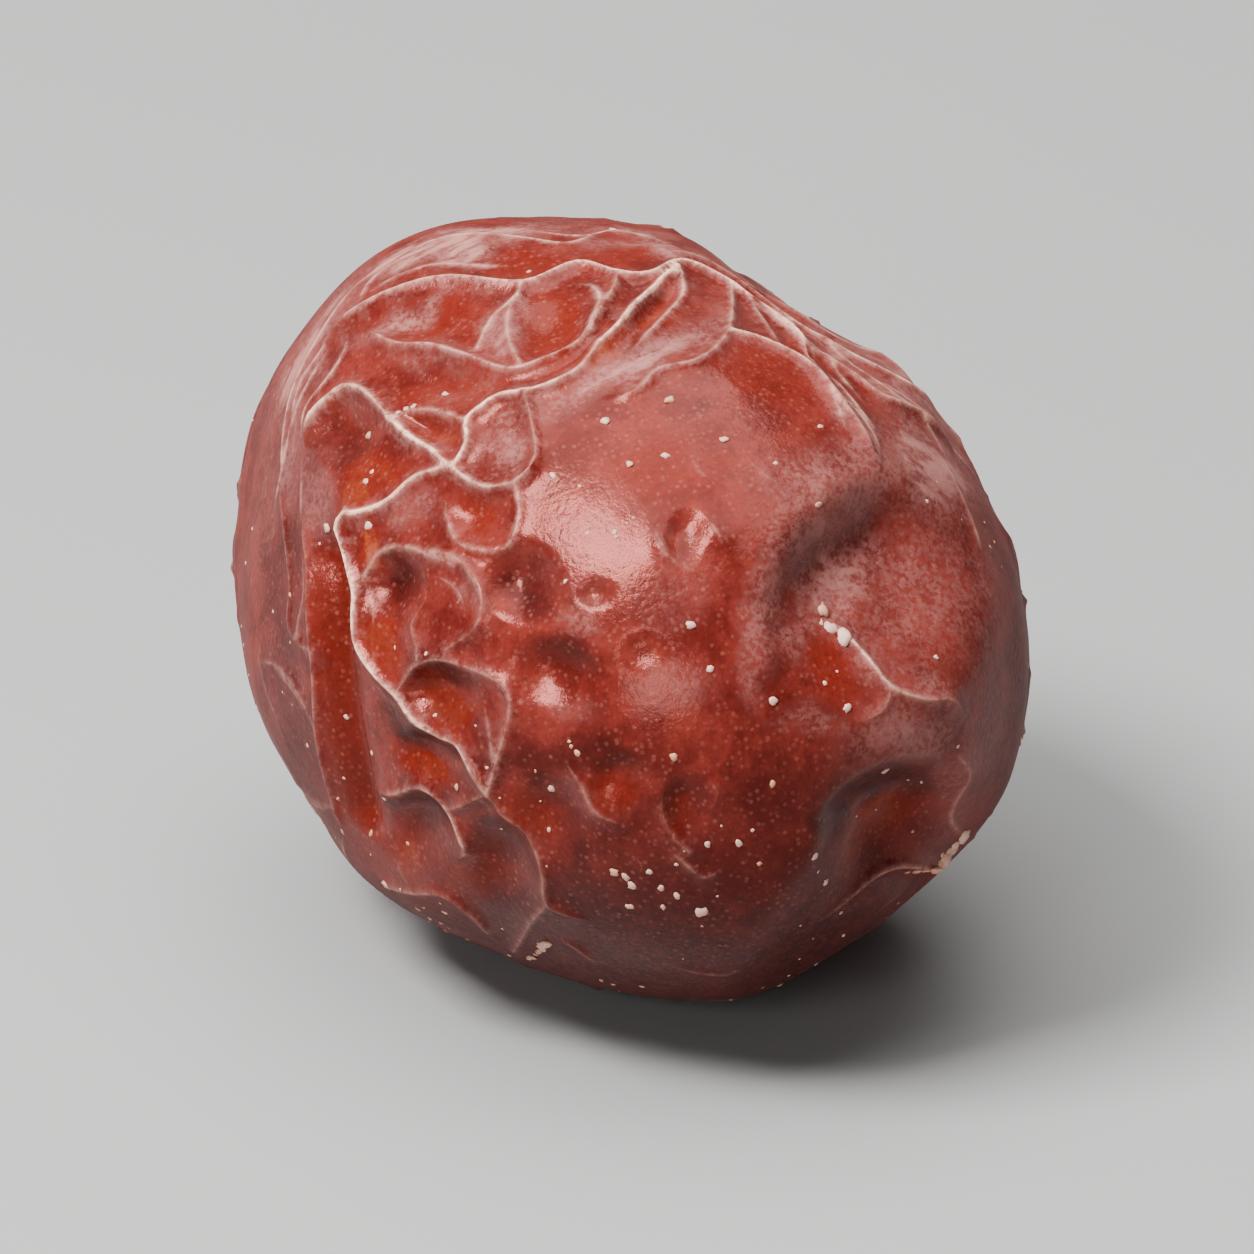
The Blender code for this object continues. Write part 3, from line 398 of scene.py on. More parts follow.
# Folds as drawn in the view: height in mm, strength of the pale line at the first and the last
# point, then points in mm right of and above the fruit's middle
FOLDS = {
    "crown": (0.34, 0.55, 0.95, [(-7.6, 6.7), (-6.9, 7.2), (-5.6, 7.8), (-4.4, 8.15), (-2.6, 8.2),
        (-1.3, 8.72), (-0.3, 8.45), (0.5, 8.42), (1.3, 8.75), (2.5, 8.4), (3.1, 8.0), (4.0, 7.3),
        (4.5, 6.4)]),
    "under_crown": (0.32, 0.6, 0.5, [(-6.5, 7.0), (-5.8, 6.65), (-4.9, 6.6), (-4.0, 6.35), (-3.0, 6.0),
        (-2.1, 6.25), (-1.1, 6.75), (-0.8, 7.3), (-0.4, 8.0), (-0.3, 8.4)]),
    "window_left": (0.24, 0.6, 0.45, [(-2.7, 8.1), (-3.0, 7.5), (-3.0, 6.8), (-2.7, 6.15)]),
    "window_outer": (0.18, 0.7, 0.6, [(-2.8, 7.9), (-3.4, 7.4), (-3.8, 6.6)]),
    "slot_left": (0.34, 0.95, 1.0, [(-0.75, 6.6), (-0.3, 7.05), (0.0, 7.5), (0.5, 8.0), (1.2, 8.6)]),
    "slot_right": (0.21, 0.5, 0.65, [(0.0, 6.5), (0.6, 7.1), (1.3, 7.9), (1.3, 8.5)]),
    "lobe": (0.24, 0.6, 0.45, [(2.6, 8.3), (2.5, 7.2), (2.2, 6.6), (1.6, 6.2), (0.7, 6.0), (0.2, 5.5),
        (-0.6, 5.3)]),
    "shoulder": (0.29, 0.8, 0.4, [(2.45, 6.95), (3.3, 6.75), (4.3, 6.25), (4.9, 5.5), (5.5, 4.7),
        (6.1, 3.7)]),
    "crest_inner": (0.21, 0.6, 0.4, [(3.0, 8.1), (3.4, 7.4), (3.7, 6.7)]),
    "band": (0.32, 0.6, 0.95, [(-0.75, 6.6), (-1.3, 5.95), (-2.3, 5.5), (-3.2, 5.35), (-3.6, 5.1),
        (-4.0, 4.75), (-4.0, 4.2), (-4.3, 3.6)]),
    "diamond_top": (0.16, 0.55, 0.45, [(-4.0, 4.75), (-4.8, 5.05), (-5.6, 5.05), (-5.95, 4.85)]),
    "diamond_low": (0.32, 1.15, 0.15, [(-5.95, 4.85), (-5.4, 4.35), (-4.9, 4.05), (-4.4, 3.6),
        (-3.6, 3.1), (-2.8, 3.2), (-2.3, 3.8), (-2.4, 4.7), (-2.6, 5.4)]),
    "arch": (0.32, 0.8, 0.6, [(-8.4, 4.1), (-8.0, 5.0), (-7.5, 5.45), (-7.0, 5.65), (-6.5, 5.45),
        (-5.95, 4.85)]),
    "fork": (0.32, 1.15, 0.6, [(-7.25, 2.9), (-7.05, 2.5), (-6.4, 2.6), (-5.9, 2.85), (-5.3, 3.35),
        (-4.4, 3.6)]),
    "spine": (0.35, 1.05, 0.6, [(-7.05, 2.5), (-7.4, 2.1), (-7.1, 1.4), (-6.85, 0.5), (-6.8, -0.7),
        (-6.3, -1.5), (-5.8, -2.0), (-5.4, -2.6), (-4.7, -3.1), (-4.3, -3.2), (-3.9, -3.9), (-3.5, -4.5)]),
    "flank": (0.22, 0.3, 0.35, [(-8.6, 2.6), (-8.3, 1.4), (-8.15, 0.0), (-7.9, -1.6), (-7.75, -3.2),
        (-7.3, -4.8), (-6.9, -5.6)]),
    "limb_upper": (0.09, 0.25, 0.3, [(-9.3, 3.6), (-9.2, 2.2), (-8.9, 0.8), (-8.75, -0.4),
        (-8.0, -1.0)]),
    "limb_lower": (0.08, 0.35, 0.3, [(-9.6, -1.2), (-8.9, -1.35), (-8.3, -2.0), (-7.8, -3.0)]),
    "limb_foot": (0.06, 0.3, 0.35, [(-8.9, -3.4), (-8.2, -4.5), (-7.4, -4.85)]),
    "pocket_top": (0.18, 0.5, 0.45, [(-6.8, 0.8), (-6.3, 1.5), (-5.6, 1.65), (-4.9, 1.4), (-4.35, 1.2)]),
    "pocket_foot": (0.19, 0.4, 0.4, [(-5.75, -1.9), (-5.25, -1.1), (-5.4, -0.3), (-5.0, 0.5)]),
    # hollow_rim is a real fold, and its pale line is partly a painted glint on the hollow's rim
    "hollow_rim": (0.26, 0.5, 0.3, [(-4.9, 1.5), (-4.35, 1.4), (-3.8, 0.9), (-3.6, 0.3), (-3.8, -0.4),
        (-4.5, -0.9)]),
    "tile": (0.16, 0.45, 0.5, [(-4.6, 3.1), (-4.5, 2.2), (-4.1, 1.65), (-3.1, 1.6), (-2.75, 2.3),
        (-2.8, 3.2)]),
    "nest_top": (0.24, 0.3, 0.5, [(-5.75, -1.9), (-5.4, -1.4), (-4.8, -1.15), (-3.9, -1.35),
        (-3.05, -1.8), (-2.95, -2.5), (-3.2, -3.4), (-3.5, -4.4)]),
    "nest_inner": (0.11, 0.4, 0.4, [(-3.7, -2.0), (-3.5, -2.8), (-3.4, -3.6)]),
    "hook": (0.27, 0.35, 0.75, [(-6.5, -4.4), (-5.9, -4.5), (-5.2, -4.35), (-4.6, -4.95), (-4.25, -5.6),
        (-4.1, -6.0), (-4.4, -6.2)]),
    "hook_branch": (0.22, 0.3, 0.4, [(-4.6, -4.95), (-4.1, -4.75), (-3.5, -4.5), (-3.2, -5.0),
        (-2.6, -5.6), (-2.2, -6.5), (-2.05, -7.3), (-1.1, -7.75)]),
    "foot_branch": (0.16, 0.4, 0.4, [(-2.05, -7.3), (-2.5, -7.8), (-3.0, -8.6)]),
    "foot_left": (0.22, 0.5, 0.4, [(-6.1, -6.5), (-5.3, -6.8), (-4.6, -6.95), (-3.8, -7.65),
        (-3.3, -8.3)]),
    "foot_mid": (0.14, 0.4, 0.4, [(-2.0, -8.2), (-1.3, -8.45), (-0.6, -9.0)]),
    "belly": (0.14, 0.5, 0.35, [(-1.7, -3.6), (-1.2, -4.3), (-0.9, -4.95), (0.1, -5.4)]),
    "ring_left": (0.16, 0.35, 0.35, [(0.9, -4.2), (0.8, -4.9), (1.1, -5.6), (1.5, -5.95)]),
    "ring_right": (0.13, 0.3, 0.3, [(1.8, -4.0), (2.2, -4.5), (1.9, -5.1)]),
    "ring_low": (0.1, 0.35, 0.35, [(1.2, -6.1), (1.9, -6.6), (2.5, -6.2)]),
    "keel": (0.11, 0.25, 0.3, [(0.8, -8.8), (1.7, -8.95), (2.4, -9.0), (3.0, -8.8)]),
    # pit_left and pit_right are real rims of the small pit, and their pale lines are partly painted glints
    # on them
    "pit_left": (0.19, 0.5, 0.5, [(0.5, 2.1), (0.8, 1.5), (1.35, 1.05)]),
    "pit_right": (0.19, 0.7, 0.6, [(1.9, 2.4), (2.1, 1.9), (2.4, 1.55)]),
    "tick_high": (0.1, 0.4, 0.4, [(1.4, 4.1), (1.7, 3.5), (2.2, 3.15)]),
    "tick_low": (0.08, 0.4, 0.4, [(2.8, 1.8), (3.1, 1.3), (3.4, 1.0)]),
    "crease": (0.27, 0.95, 0.25, [(5.3, 0.0), (5.8, -0.6), (6.2, -1.2), (6.6, -1.85), (7.4, -2.15),
        (8.0, -2.15), (8.5, -2.6)]),
    "crease_foot": (0.16, 0.45, 0.2, [(6.6, -1.85), (6.4, -2.4), (5.7, -2.8)]),
    "rim_outer": (0.24, 0.35, 0.9, [(0.0, 9.4), (0.8, 9.1), (2.0, 8.95), (3.1, 8.5), (4.3, 7.55),
        (5.4, 6.75), (6.6, 5.9), (7.7, 5.0)]),
    "rim_inner": (0.21, 0.55, 0.6, [(4.7, 6.6), (5.4, 6.1), (6.2, 5.4), (7.2, 4.9), (8.0, 4.2)]),
    "rim_far": (0.14, 0.4, 0.4, [(3.4, 8.6), (4.6, 7.85), (6.2, 6.8), (7.4, 5.8)]),
    "cheek_high": (0.13, 0.4, 0.4, [(8.0, 5.0), (8.5, 3.9), (9.0, 3.0)]),
    "cheek_low": (0.12, 0.4, 0.4, [(9.2, 2.5), (9.7, 1.5), (9.95, 0.6)]),
    "lip": (0.27, 0.35, 0.6, [(4.8, -8.1), (5.6, -7.6), (6.5, -7.05), (7.3, -6.75), (8.1, -6.65),
        (8.7, -6.0)]),
}

# Grooves as drawn in the view: depth and half-width in mm, then points
GROOVES = {
    "flank_groove": (0.48, 0.6, [
        (-7.9, 2.2), (-7.6, 1.0), (-7.45, -0.5), (-7.3, -2.0), (-7.05, -3.4), (-6.7, -4.8),
        (-6.35, -5.7)]),
    "cheek_wall": (0.26, 0.9, [
        (7.3, 2.7), (6.2, 2.1), (5.3, 1.65), (4.6, 1.1), (4.15, 0.4), (3.9, -0.5), (3.7, -1.2)]),
    "tip_wall": (0.24, 0.9, [
        (5.0, -6.1), (5.15, -5.3), (5.7, -4.7), (6.7, -4.45), (7.6, -4.6), (8.2, -5.1)]),
    "slot": (0.25, 0.3, [(0.0, 7.0), (0.6, 7.7), (1.1, 8.2)]),
    "lip_fold": (0.18, 0.42, [(5.2, -8.1), (6.2, -7.45), (7.2, -7.1), (8.1, -7.0)]),
}

# Dents as drawn in the view: middle, half-width and half-height in mm, turn in degrees, and depth
# in mm, which is less than 0 for a bulge
DENTS = {
    "cheek": (6.4, 0.3, 3.2, 2.8, 60, 1.1),
    "tip": (6.9, -5.5, 2.3, 1.6, 30, 0.85),
    "arch_pocket": (-7.2, 4.6, 0.95, 1.0, 0, 0.45),
    "side_pocket": (-6.0, 0.6, 0.9, 1.0, 0, 0.42),
    "oval_pocket": (-2.6, 0.7, 0.95, 1.1, 30, 0.5),
    "shine_pocket": (-1.7, -1.6, 1.3, 1.0, -25, 0.42),
    "shine_pit": (0.4, -0.95, 0.65, 0.55, 0, 0.13),
    "small_pit": (1.35, 1.8, 0.55, 0.85, -20, 0.18),
    "shine_dimple": (-0.8, 0.45, 0.5, 0.4, 0, 0.14),
    "nest": (-4.7, -2.1, 1.1, 0.9, -20, 0.42),
    "nest_low": (-4.9, -3.6, 1.1, 0.7, -20, 0.34),
    "hook_pocket": (-5.2, -5.4, 1.0, 1.0, 0, 0.38),
    "foot_pocket": (-3.1, -6.3, 1.0, 1.2, 20, 0.36),
    "belly_pocket": (-1.8, -5.2, 1.1, 1.2, 20, 0.28),
    "belly_dip": (-0.2, -4.2, 0.8, 0.7, 0, 0.2),
    "ring_pocket": (1.4, -4.9, 0.7, 0.9, 10, 0.22),
    "window": (-1.9, 7.1, 0.9, 0.8, 0, 0.24),
    "long_window": (-5.0, 7.15, 1.3, 0.5, 12, 0.24),
    "upper_window": (-3.0, 8.75, 1.8, 0.4, 6, 0.2),
    "band_pocket": (-4.4, 5.8, 1.2, 0.5, -10, 0.18),
    "diamond": (-4.9, 4.6, 0.8, 0.4, -20, 0.24),
    "tile_pocket": (-3.6, 2.4, 0.8, 0.7, 0, 0.16),
    "waist": (5.0, 8.0, 4.0, 2.2, -36, 0.42),
    "under_tip": (6.6, -8.0, 4.4, 2.6, 44, 0.6),
    "stem_side": (-9.9, 1.6, 2.6, 4.8, 0, 0.58),
    "upper_bulge": (-5.4, 8.6, 3.8, 2.3, 36, -0.38),
    "lower_bulge": (-6.2, -7.4, 3.2, 2.2, -42, -0.28),
    "right_bulge": (8.2, 6.0, 2.4, 2.0, -45, -0.25),
}


def view_axes(azimuth, elevation):
    """A view's right, up and towards-the-viewer directions, in the frame's axes."""
    turn = math.radians(azimuth)
    tilt = math.radians(elevation)
    return np.array([
        (math.cos(turn), math.sin(turn), 0.0),
        (-math.sin(turn) * math.sin(tilt), math.cos(turn) * math.sin(tilt), math.cos(tilt)),
        (math.sin(turn) * math.cos(tilt), -math.cos(turn) * math.cos(tilt), math.sin(tilt)),
    ])


def sight_axes():
    """The axes of the view in which the folds were drawn, in the fruit's own axes before it dips."""
    return view_axes(SIGHT_AZIMUTH, SIGHT_ELEVATION) @ np.array(TIP_TURN)


def unit(vectors):
    return vectors / np.linalg.norm(vectors, axis=-1, keepdims=True)


def fade(value, start, end):
    """0 at start and before it, 1 at end and past it, and smooth between; start may be the larger."""
    t = np.clip((value - start) / (end - start), 0, 1)
    return t * t * (3 - 2 * t)


def wander(points, length, place):
    """Smooth noise about -1 to 1 that changes over the given length, read from a place of its own."""
    offset = Vector((place, 2 * place, 3 * place))
    return np.array([noise.noise(Vector(p) + offset) for p in (points / length).tolist()])


def wander_3d(points, length, places):
    return np.stack([wander(points, length, place) for place in places], axis=1)


def body_radius(directions):
    """Distance from the middle to the plain body, without folds, along each unit direction."""
    along = directions[:, 0]
    across = np.hypot(directions[:, 1], directions[:, 2])
    half_width = BODY_WIDTH / 2 * (1 - STEM_SHOULDER * along)
    p = BLUNTNESS
    return ((np.abs(along) / (BODY_LENGTH / 2)) ** p + (across / half_width) ** p) ** (-1 / p)


def body_points(directions):
    """Points of the plain body along unit directions."""
    return directions * body_radius(directions)[:, None]


def on_body(drawn):
    """Points of the body seen at drawn (right, up) places; a place past the edge is drawn in to it."""
    right, up, toward = sight_axes()
    depths = np.linspace(BODY_LENGTH, 0, SIGHT_STEPS)[:, None]
    found = []
    for x, y in drawn:
        for shrink in np.linspace(1, EDGE_SHRINK, EDGE_STEPS):
            ray = shrink * (x * right + y * up) + depths * toward
            inside = np.linalg.norm(ray, axis=1) <= body_radius(unit(ray))
            if inside.any():
                found.append(ray[np.argmax(inside)])
                break
    return np.array(found)


def drawn_line(drawn):
    """Points close together along a smooth line on the body through drawn places, which are in mm."""
    return body_points(unit(smooth_line(on_body(np.array(drawn) * MM), LINE_STEP)))


def smooth_line(points, step):
    """Points about a step apart on a smooth curve through the given ones."""
    padded = np.vstack([2 * points[0] - points[1], points, 2 * points[-1] - points[-2]])
    made = []
    for a, b, c, d in zip(padded, padded[1:], padded[2:], padded[3:]):
        count = max(1, round(float(np.linalg.norm(c - b)) / step))
        t = np.arange(count)[:, None] / count
        cubic = (3 * b - a - 3 * c + d) * t**3 + (2 * a - 5 * b + 4 * c - d) * t**2 + (c - a) * t
        made.append(b + cubic / 2)
    return np.vstack([*made, points[-1:]])


def line_length(line):
    return np.linalg.norm(np.diff(line, axis=0), axis=1).sum()


def line_distance(points, line):
    """Least distance from each point to a line, how far along the line that is, and the place there."""
    starts = line[:-1]
    spans = line[1:] - starts
    lengths = np.linalg.norm(spans, axis=1)
    offsets = points[:, None, :] - starts[None]
    shares = np.clip(np.einsum("nsk,sk->ns", offsets, spans) / lengths**2, 0, 1)
    gaps = np.linalg.norm(offsets - shares[..., None] * spans[None], axis=2)
    nearest = np.argmin(gaps, axis=1)
    rows = np.arange(len(points))
    share = shares[rows, nearest]
    along = np.concatenate([[0], np.cumsum(lengths)])[nearest] + share * lengths[nearest]
    return gaps[rows, nearest], along, starts[nearest] + share[:, None] * spans[nearest]


def near(points, line, reach):
    """Indexes of the points that may lie within reach of a line."""
    middle = (line.min(axis=0) + line.max(axis=0)) / 2
    radius = np.linalg.norm(line - middle, axis=1).max() + reach
    return np.nonzero(np.linalg.norm(points - middle, axis=1) < radius)[0]


def crest(distance):
    """Cross-section of a fold: 1 on its crest, 0 far from it."""
    drop = np.hypot(distance, CREST_RADIUS) - CREST_RADIUS
    return (1 - FOOT_SHARE) * np.exp(-drop / CREST_REACH) + FOOT_SHARE * np.exp(-drop / FOOT_REACH)


def taper(line, along, joins, start):
    """1 along a line, fading to 0 at each end that joins no other fold, from END_TAPER to the start."""
    share = np.ones(len(along))
    for joined, inward in zip(joins, (along, line_length(line) - along)):
        if not joined:
            share *= fade(inward, start, END_TAPER)
    return share


def drawn_folds():
    """The drawn folds: height, line, and whether its start and its end join another fold."""
    lines = [drawn_line(drawn) for *_, drawn in FOLDS.values()]
    folds = []
    for (height, *_), line in zip(FOLDS.values(), lines):
        others = [other for other in lines if other is not line]
        joins = [min(line_distance(end, other)[0][0] for other in others) < JOIN_DISTANCE
                 for end in (line[:1], line[-1:])]
        folds.append((height * MM, line, *joins))
    return folds


def scattered(count, jitter, rng):
    """Evenly spread unit directions, each moved a little at random."""
    index = np.arange(count) + 0.5
    height = 1 - 2 * index / count
    turn = index * math.pi * (3 - math.sqrt(5))
    ring = np.sqrt(1 - height**2)
    spread = np.stack([height, ring * np.cos(turn), ring * np.sin(turn)], axis=1)
    return unit(spread + rng.normal(0, jitter, spread.shape))


def cell_borders(seeds):
    """Borders between cells round unit directions: two corners each, as a number and a direction."""
    hull = bmesh.new()
    for seed in seeds:
        hull.verts.new(seed)
    hull.verts.index_update()
    bmesh.ops.convex_hull(hull, input=hull.verts[:])
    hull.faces.index_update()
    corners = [(face.index, np.array(face.normal)) for face in hull.faces]
    edges = sorted(hull.edges, key=lambda edge: sorted(vert.index for vert in edge.verts))
    borders = [[corners[face.index] for face in edge.link_faces] for edge in edges]
    hull.free()
    return borders


def net_folds():
    """The folds of the net: height, line, and whether its start and its end join another fold."""
    rng = np.random.default_rng(NET_SEED)
    kept = []
    for (first, start), (last, end) in cell_borders(scattered(NET_CELLS, NET_JITTER, rng)):
        height = rng.uniform(*NET_HEIGHT)
        lucky = rng.random() < NET_KEPT
        directions = unit(start + np.linspace(0, 1, NET_LINE_POINTS)[:, None] * (end - start))
        points = body_points(directions)
        patch = wander(points[NET_LINE_POINTS // 2][None], NET_PATCH_LENGTH, PATCH_PLACE)[0]
        hidden = hidden_share(directions[NET_LINE_POINTS // 2][None])[0]
        if lucky and hidden > 0 and patch > NET_PATCH_EDGE:
            warp = wander_3d(points, NET_WARP_LENGTH, WARP_PLACES)
            line = body_points(unit(smooth_line(points + NET_WARP * warp, LINE_STEP)))
            kept.append((height, line, first, last))
    corners = [corner for _, _, *ends in kept for corner in ends]
    return [(height, line, corners.count(first) > 1, corners.count(last) > 1)
            for height, line, first, last in kept]


def wrinkle_height(points):
    """Height of the lengthwise wrinkles at each point of the body: crests where a noise is near zero."""
    bend = wander_3d(points, NET_WARP_LENGTH, BEND_PLACES)
    moved = (points + WRINKLE_WARP * bend) * [WRINKLE_SPACING / WRINKLE_LENGTH, 1, 1]
    patch = wander(points, NET_PATCH_LENGTH, PATCH_PLACE)
    bare = fade(patch, *WRINKLE_PATCH_EDGES)
    waves = wander(moved, WRINKLE_SPACING, WRINKLE_PLACE)
    rise = 1 - np.clip(WRINKLE_NARROWNESS * np.abs(waves), 0, 1)
    return WRINKLE_HEIGHT * bare * rise**WRINKLE_SHARPNESS


def fold_height(points, folds):
    """Height of the given folds at each point of the body."""
    total = np.zeros(len(points))
    for height, line, *joins in folds:
        found = near(points, line, 5 * FOOT_REACH)
        distance, along, _ = line_distance(points[found], line)
        rise = height * crest(distance) * taper(line, along, joins, -END_TAPER / 3)
        total[found] += rise**BLEND_POWER
    return total ** (1 / BLEND_POWER)


def drawn_grooves(points):
    """Depth of the drawn grooves at each point of the body."""
    total = np.zeros(len(points))
    for depth, half_width, drawn in GROOVES.values():
        line = drawn_line(drawn)
        found = near(points, line, 4 * half_width * MM)
        distance, along, _ = line_distance(points[found], line)
        ends = fade(np.minimum(along, line_length(line) - along), 0, 1.5 * half_width * MM)
        total[found] += depth * MM * ends * np.exp(-((distance / (half_width * MM)) ** 2))
    return total


def bowl(share):
    """Profile of a dent, from 1 on its floor to 0 at its edge, of the share of its radius."""
    return fade(share, *DENT_PROFILE)


def ovals(points, drawn):
    """For each drawn oval: how far out in it each point lies, with 1 on its edge, how far towards the
    side that dents lean to, and the oval's value."""
    right, up, _ = sight_axes()
    for across, above, half_width, half_height, turn, value in drawn:
        cosine = math.cos(math.radians(turn))
        sine = math.sin(math.radians(turn))
        x = points @ right - across * MM
        y = points @ up - above * MM
        share = np.hypot((cosine * x + sine * y) / half_width, (cosine * y - sine * x) / half_height) / MM
        lean = (x * math.cos(DENT_LEAN_ANGLE) + y * math.sin(DENT_LEAN_ANGLE)) / (half_height * MM)
        yield share, lean, value


def drawn_dents(points):
    """Depth of the drawn dents at each point of the body."""
    facing = 1 - fade(points @ sight_axes()[2], *DENT_FADE)
    total = np.zeros(len(points))
    for share, lean, depth in ovals(points, DENTS.values()):
        total += depth * MM * facing * bowl(share) * (1 + DENT_LEAN * np.clip(lean, -1, 1))
    return total


def hidden_share(directions):
    """1 where the plain body faces away from the drawn view, 0 where it faces it."""
    normals = unit(directions / np.array([BODY_LENGTH, BODY_WIDTH, BODY_WIDTH]) ** 2)
    return fade(normals @ sight_axes()[2], *HIDDEN_FADE)


def hidden_dents(points, directions):
    """Depth of the dents at each point of the body that the drawn view doesn't show."""
    rng = np.random.default_rng(DENT_SEED)
    centres = scattered(2 * HIDDEN_DENTS, HIDDEN_DENT_JITTER, rng)
    centres = centres[centres @ sight_axes()[2] < HIDDEN_DENT_EDGE][:HIDDEN_DENTS]
    total = np.zeros(len(points))
    for centre in centres:
        radius = rng.uniform(*HIDDEN_DENT_RADIUS)
        depth = rng.uniform(*HIDDEN_DENT_DEPTH)
        stretch = unit(rng.normal(0, 1, 3))
        middle = centre * body_radius(centre[None])
        offset = points - middle
        along = offset @ stretch
        share = np.sqrt((offset**2).sum(axis=1) - 0.5 * along**2) / radius
        total += depth * bowl(share)
    return total * hidden_share(directions)


def stem_basin(points):
    """Height of the skin in and round the stem basin, and how far the basin clears the folds away."""
    reach = np.hypot(points[:, 1], points[:, 2])
    turn = np.arctan2(points[:, 2], points[:, 1])
    at_stem = points[:, 0] < 0
    uneven = 1 + 0.10 * np.sin(2 * turn + 0.8) + 0.06 * np.sin(3 * turn - 1.1)
    share = reach / (BASIN_RADIUS * uneven)
    height = -BASIN_DEPTH * fade(share, 1.0, BASIN_FLOOR)
    height += BASIN_RIM_HEIGHT * np.exp(-(((share - BASIN_RIM) / BASIN_RIM_WIDTH) ** 2))
    pleat = np.cos(PLEATS * turn + 0.9 * np.sin(3 * turn) + 0.7 * np.sin(5 * turn + 1))
    pleated = fade(share, *PLEATS_START) * fade(share, *PLEATS_END)
    height += PLEAT_DEPTH * pleated * (pleat - 0.3) * (0.75 + 0.25 * np.sin(4 * turn))
    height += SCAR_RING_HEIGHT * np.exp(-(((reach - SCAR_RING_RADIUS) / SCAR_RING_WIDTH) ** 2))
    height -= SCAR_PIT_DEPTH * fade(reach, SCAR_PIT_RADIUS, SCAR_PIT_FLOOR)
    return at_stem * height, 1 - at_stem * fade(share, *BASIN_CLEARING)


def relief(directions):
    """Height of the skin above the plain body along each unit direction."""
    points = body_points(directions)
    hidden = hidden_share(directions)
    basin, clear_of_basin = stem_basin(points)
    lowest = np.array(TIP_TURN.inverted() @ Vector((0, 0, -BODY_WIDTH / 2)))
    clear_of_flat = fade(np.linalg.norm(points - lowest, axis=1), FLAT_BARE, FLAT_CLEAR)
    folds = fold_height(points, drawn_folds())
    hidden_folds = np.maximum(fold_height(points, net_folds()), wrinkle_height(points))
    folds += hidden * hidden_folds * clear_of_basin * clear_of_flat
    dents = drawn_dents(points) + hidden_dents(points, directions) * clear_of_basin * clear_of_flat
    swell = SWELL_HEIGHT * wander(points, SWELL_LENGTH, SWELL_PLACE)
    return folds - drawn_grooves(points) - dents + swell + basin


def vertex_places(mesh):
    places = np.empty(3 * len(mesh.vertices), dtype=np.float32)
    mesh.vertices.foreach_get("co", places)
    return places.reshape(-1, 3).astype(float)


def gathered(directions, folds):
    """The directions, with those close to a crest moved onto it, so that crests are not jagged."""
    points = body_points(directions)
    best = np.full(len(points), np.inf)
    target = points.copy()
    for _, line, *_ in folds:
        found = near(points, line, 3 * GATHER)
        gaps, _, places = line_distance(points[found], line)
        closer = gaps < best[found]
        best[found[closer]] = gaps[closer]
        target[found[closer]] = places[closer]
    pull = np.exp(-((best / GATHER) ** 2))[:, None]
    return unit(points + pull * (target - points))


def placed(directions, fine=()):
    """Points of the skin along unit directions, in the frame's axes, before the fruit is set down."""
    body = body_points(directions)
    points = body + directions * (relief(directions) + fold_height(body, fine))[:, None]
    return points @ np.array(TIP_TURN).T


def nearest_fold(points, folds, strengths):
    """Distance in mm from each point of the body to the nearest crest line, and that line's strength."""
    gap = np.full(len(points), WIDEST_GAP)
    strength = np.zeros(len(points))
    for (_, line, *joins), (start, end) in zip(folds, strengths):
        found = near(points, line, WIDEST_GAP * MM)
        distance, along, _ = line_distance(points[found], line)
        here = start + (end - start) * along / line_length(line)
        closer = distance / MM < gap[found]
        gap[found[closer]] = distance[closer] / MM
        strength[found[closer]] = (here * taper(line, along, joins, 0))[closer]
    return gap, strength


def patches(points, drawn, edge):
    """How far each point of the body lies in the drawn patches, whose edges are made uneven."""
    uneven = points + PATCH_WARP * wander_3d(points, PATCH_WARP_LENGTH, PATCH_WARP_PLACES)
    facing = fade(points @ sight_axes()[2], *PATCH_FADE)
    total = np.zeros(len(points))
    for share, _, strength in ovals(uneven, drawn):
        total = np.maximum(total, strength * facing * fade(share, *edge))
    return total


def noise_share(points, length, place, start, end):
    return fade(wander(points, length, place), start, end)


def add_fields(mesh, directions, folds, strengths):
    """What the skin's material reads: lines, red floors, pale film with painted highlights and sheen, maroon
    skin with painted shade, and the scar at the stem.
    """
    body = body_points(directions)
    hidden = hidden_share(directions)
    gap, strength = nearest_fold(body, folds, strengths)
    basin = 1 - stem_basin(body)[1]
    reach = np.hypot(body[:, 1], body[:, 2]) / SCAR_RING_RADIUS
    floor = fade(gap, *FLOOR_GAP) * noise_share(body, *HIDDEN_FLOOR)
    film_and_highlight = noise_share(body, *HIDDEN_FILM)
    # On the hidden side: maroon by a random noise, and darker over the whole stem basin
    shade_and_maroon = np.maximum(noise_share(body, *HIDDEN_DARK), basin)
    fields = {
        "gap": gap,
        "bright": strength * (1 - basin),
        "floor": (1 - hidden) * patches(body, RED_PATCHES, CRISP_EDGE) + hidden * floor,
        "film_and_highlight": (1 - hidden) * patches(body, FILM_AND_HIGHLIGHT_PATCHES, SOFT_EDGE) + hidden * film_and_highlight,
        "shade_and_maroon": (1 - hidden) * patches(body, SHADE_AND_MAROON_PATCHES, SOFT_EDGE) + hidden * shade_and_maroon,
        "scar": (body[:, 0] < 0) * fade(reach, *SCAR_EDGE),
    }
    for name, values in fields.items():
        field = mesh.attributes.new(name, "FLOAT", "POINT")
        field.data.foreach_set("value", values.astype(np.float32))


def skin_folds():
    """All folds of the skin, the fine ones alone, and each fold's strengths of its pale line."""
    net = net_folds()
    fine = [(height * MM, drawn_line(drawn), False, False) for height, _, drawn in FINE_FOLDS]
    strengths = [(start, end) for _, start, end, _ in FOLDS.values()]
    strengths += [(strength, strength) for _, strength, _ in FINE_FOLDS]
    rng = np.random.default_rng(STRENGTH_SEED)
    for _, line, *_ in net:
        strengths.append(hidden_share(unit(line[[0, -1]])) * rng.uniform(*NET_STRENGTH, 2))
    return drawn_folds() + fine + net, fine, strengths


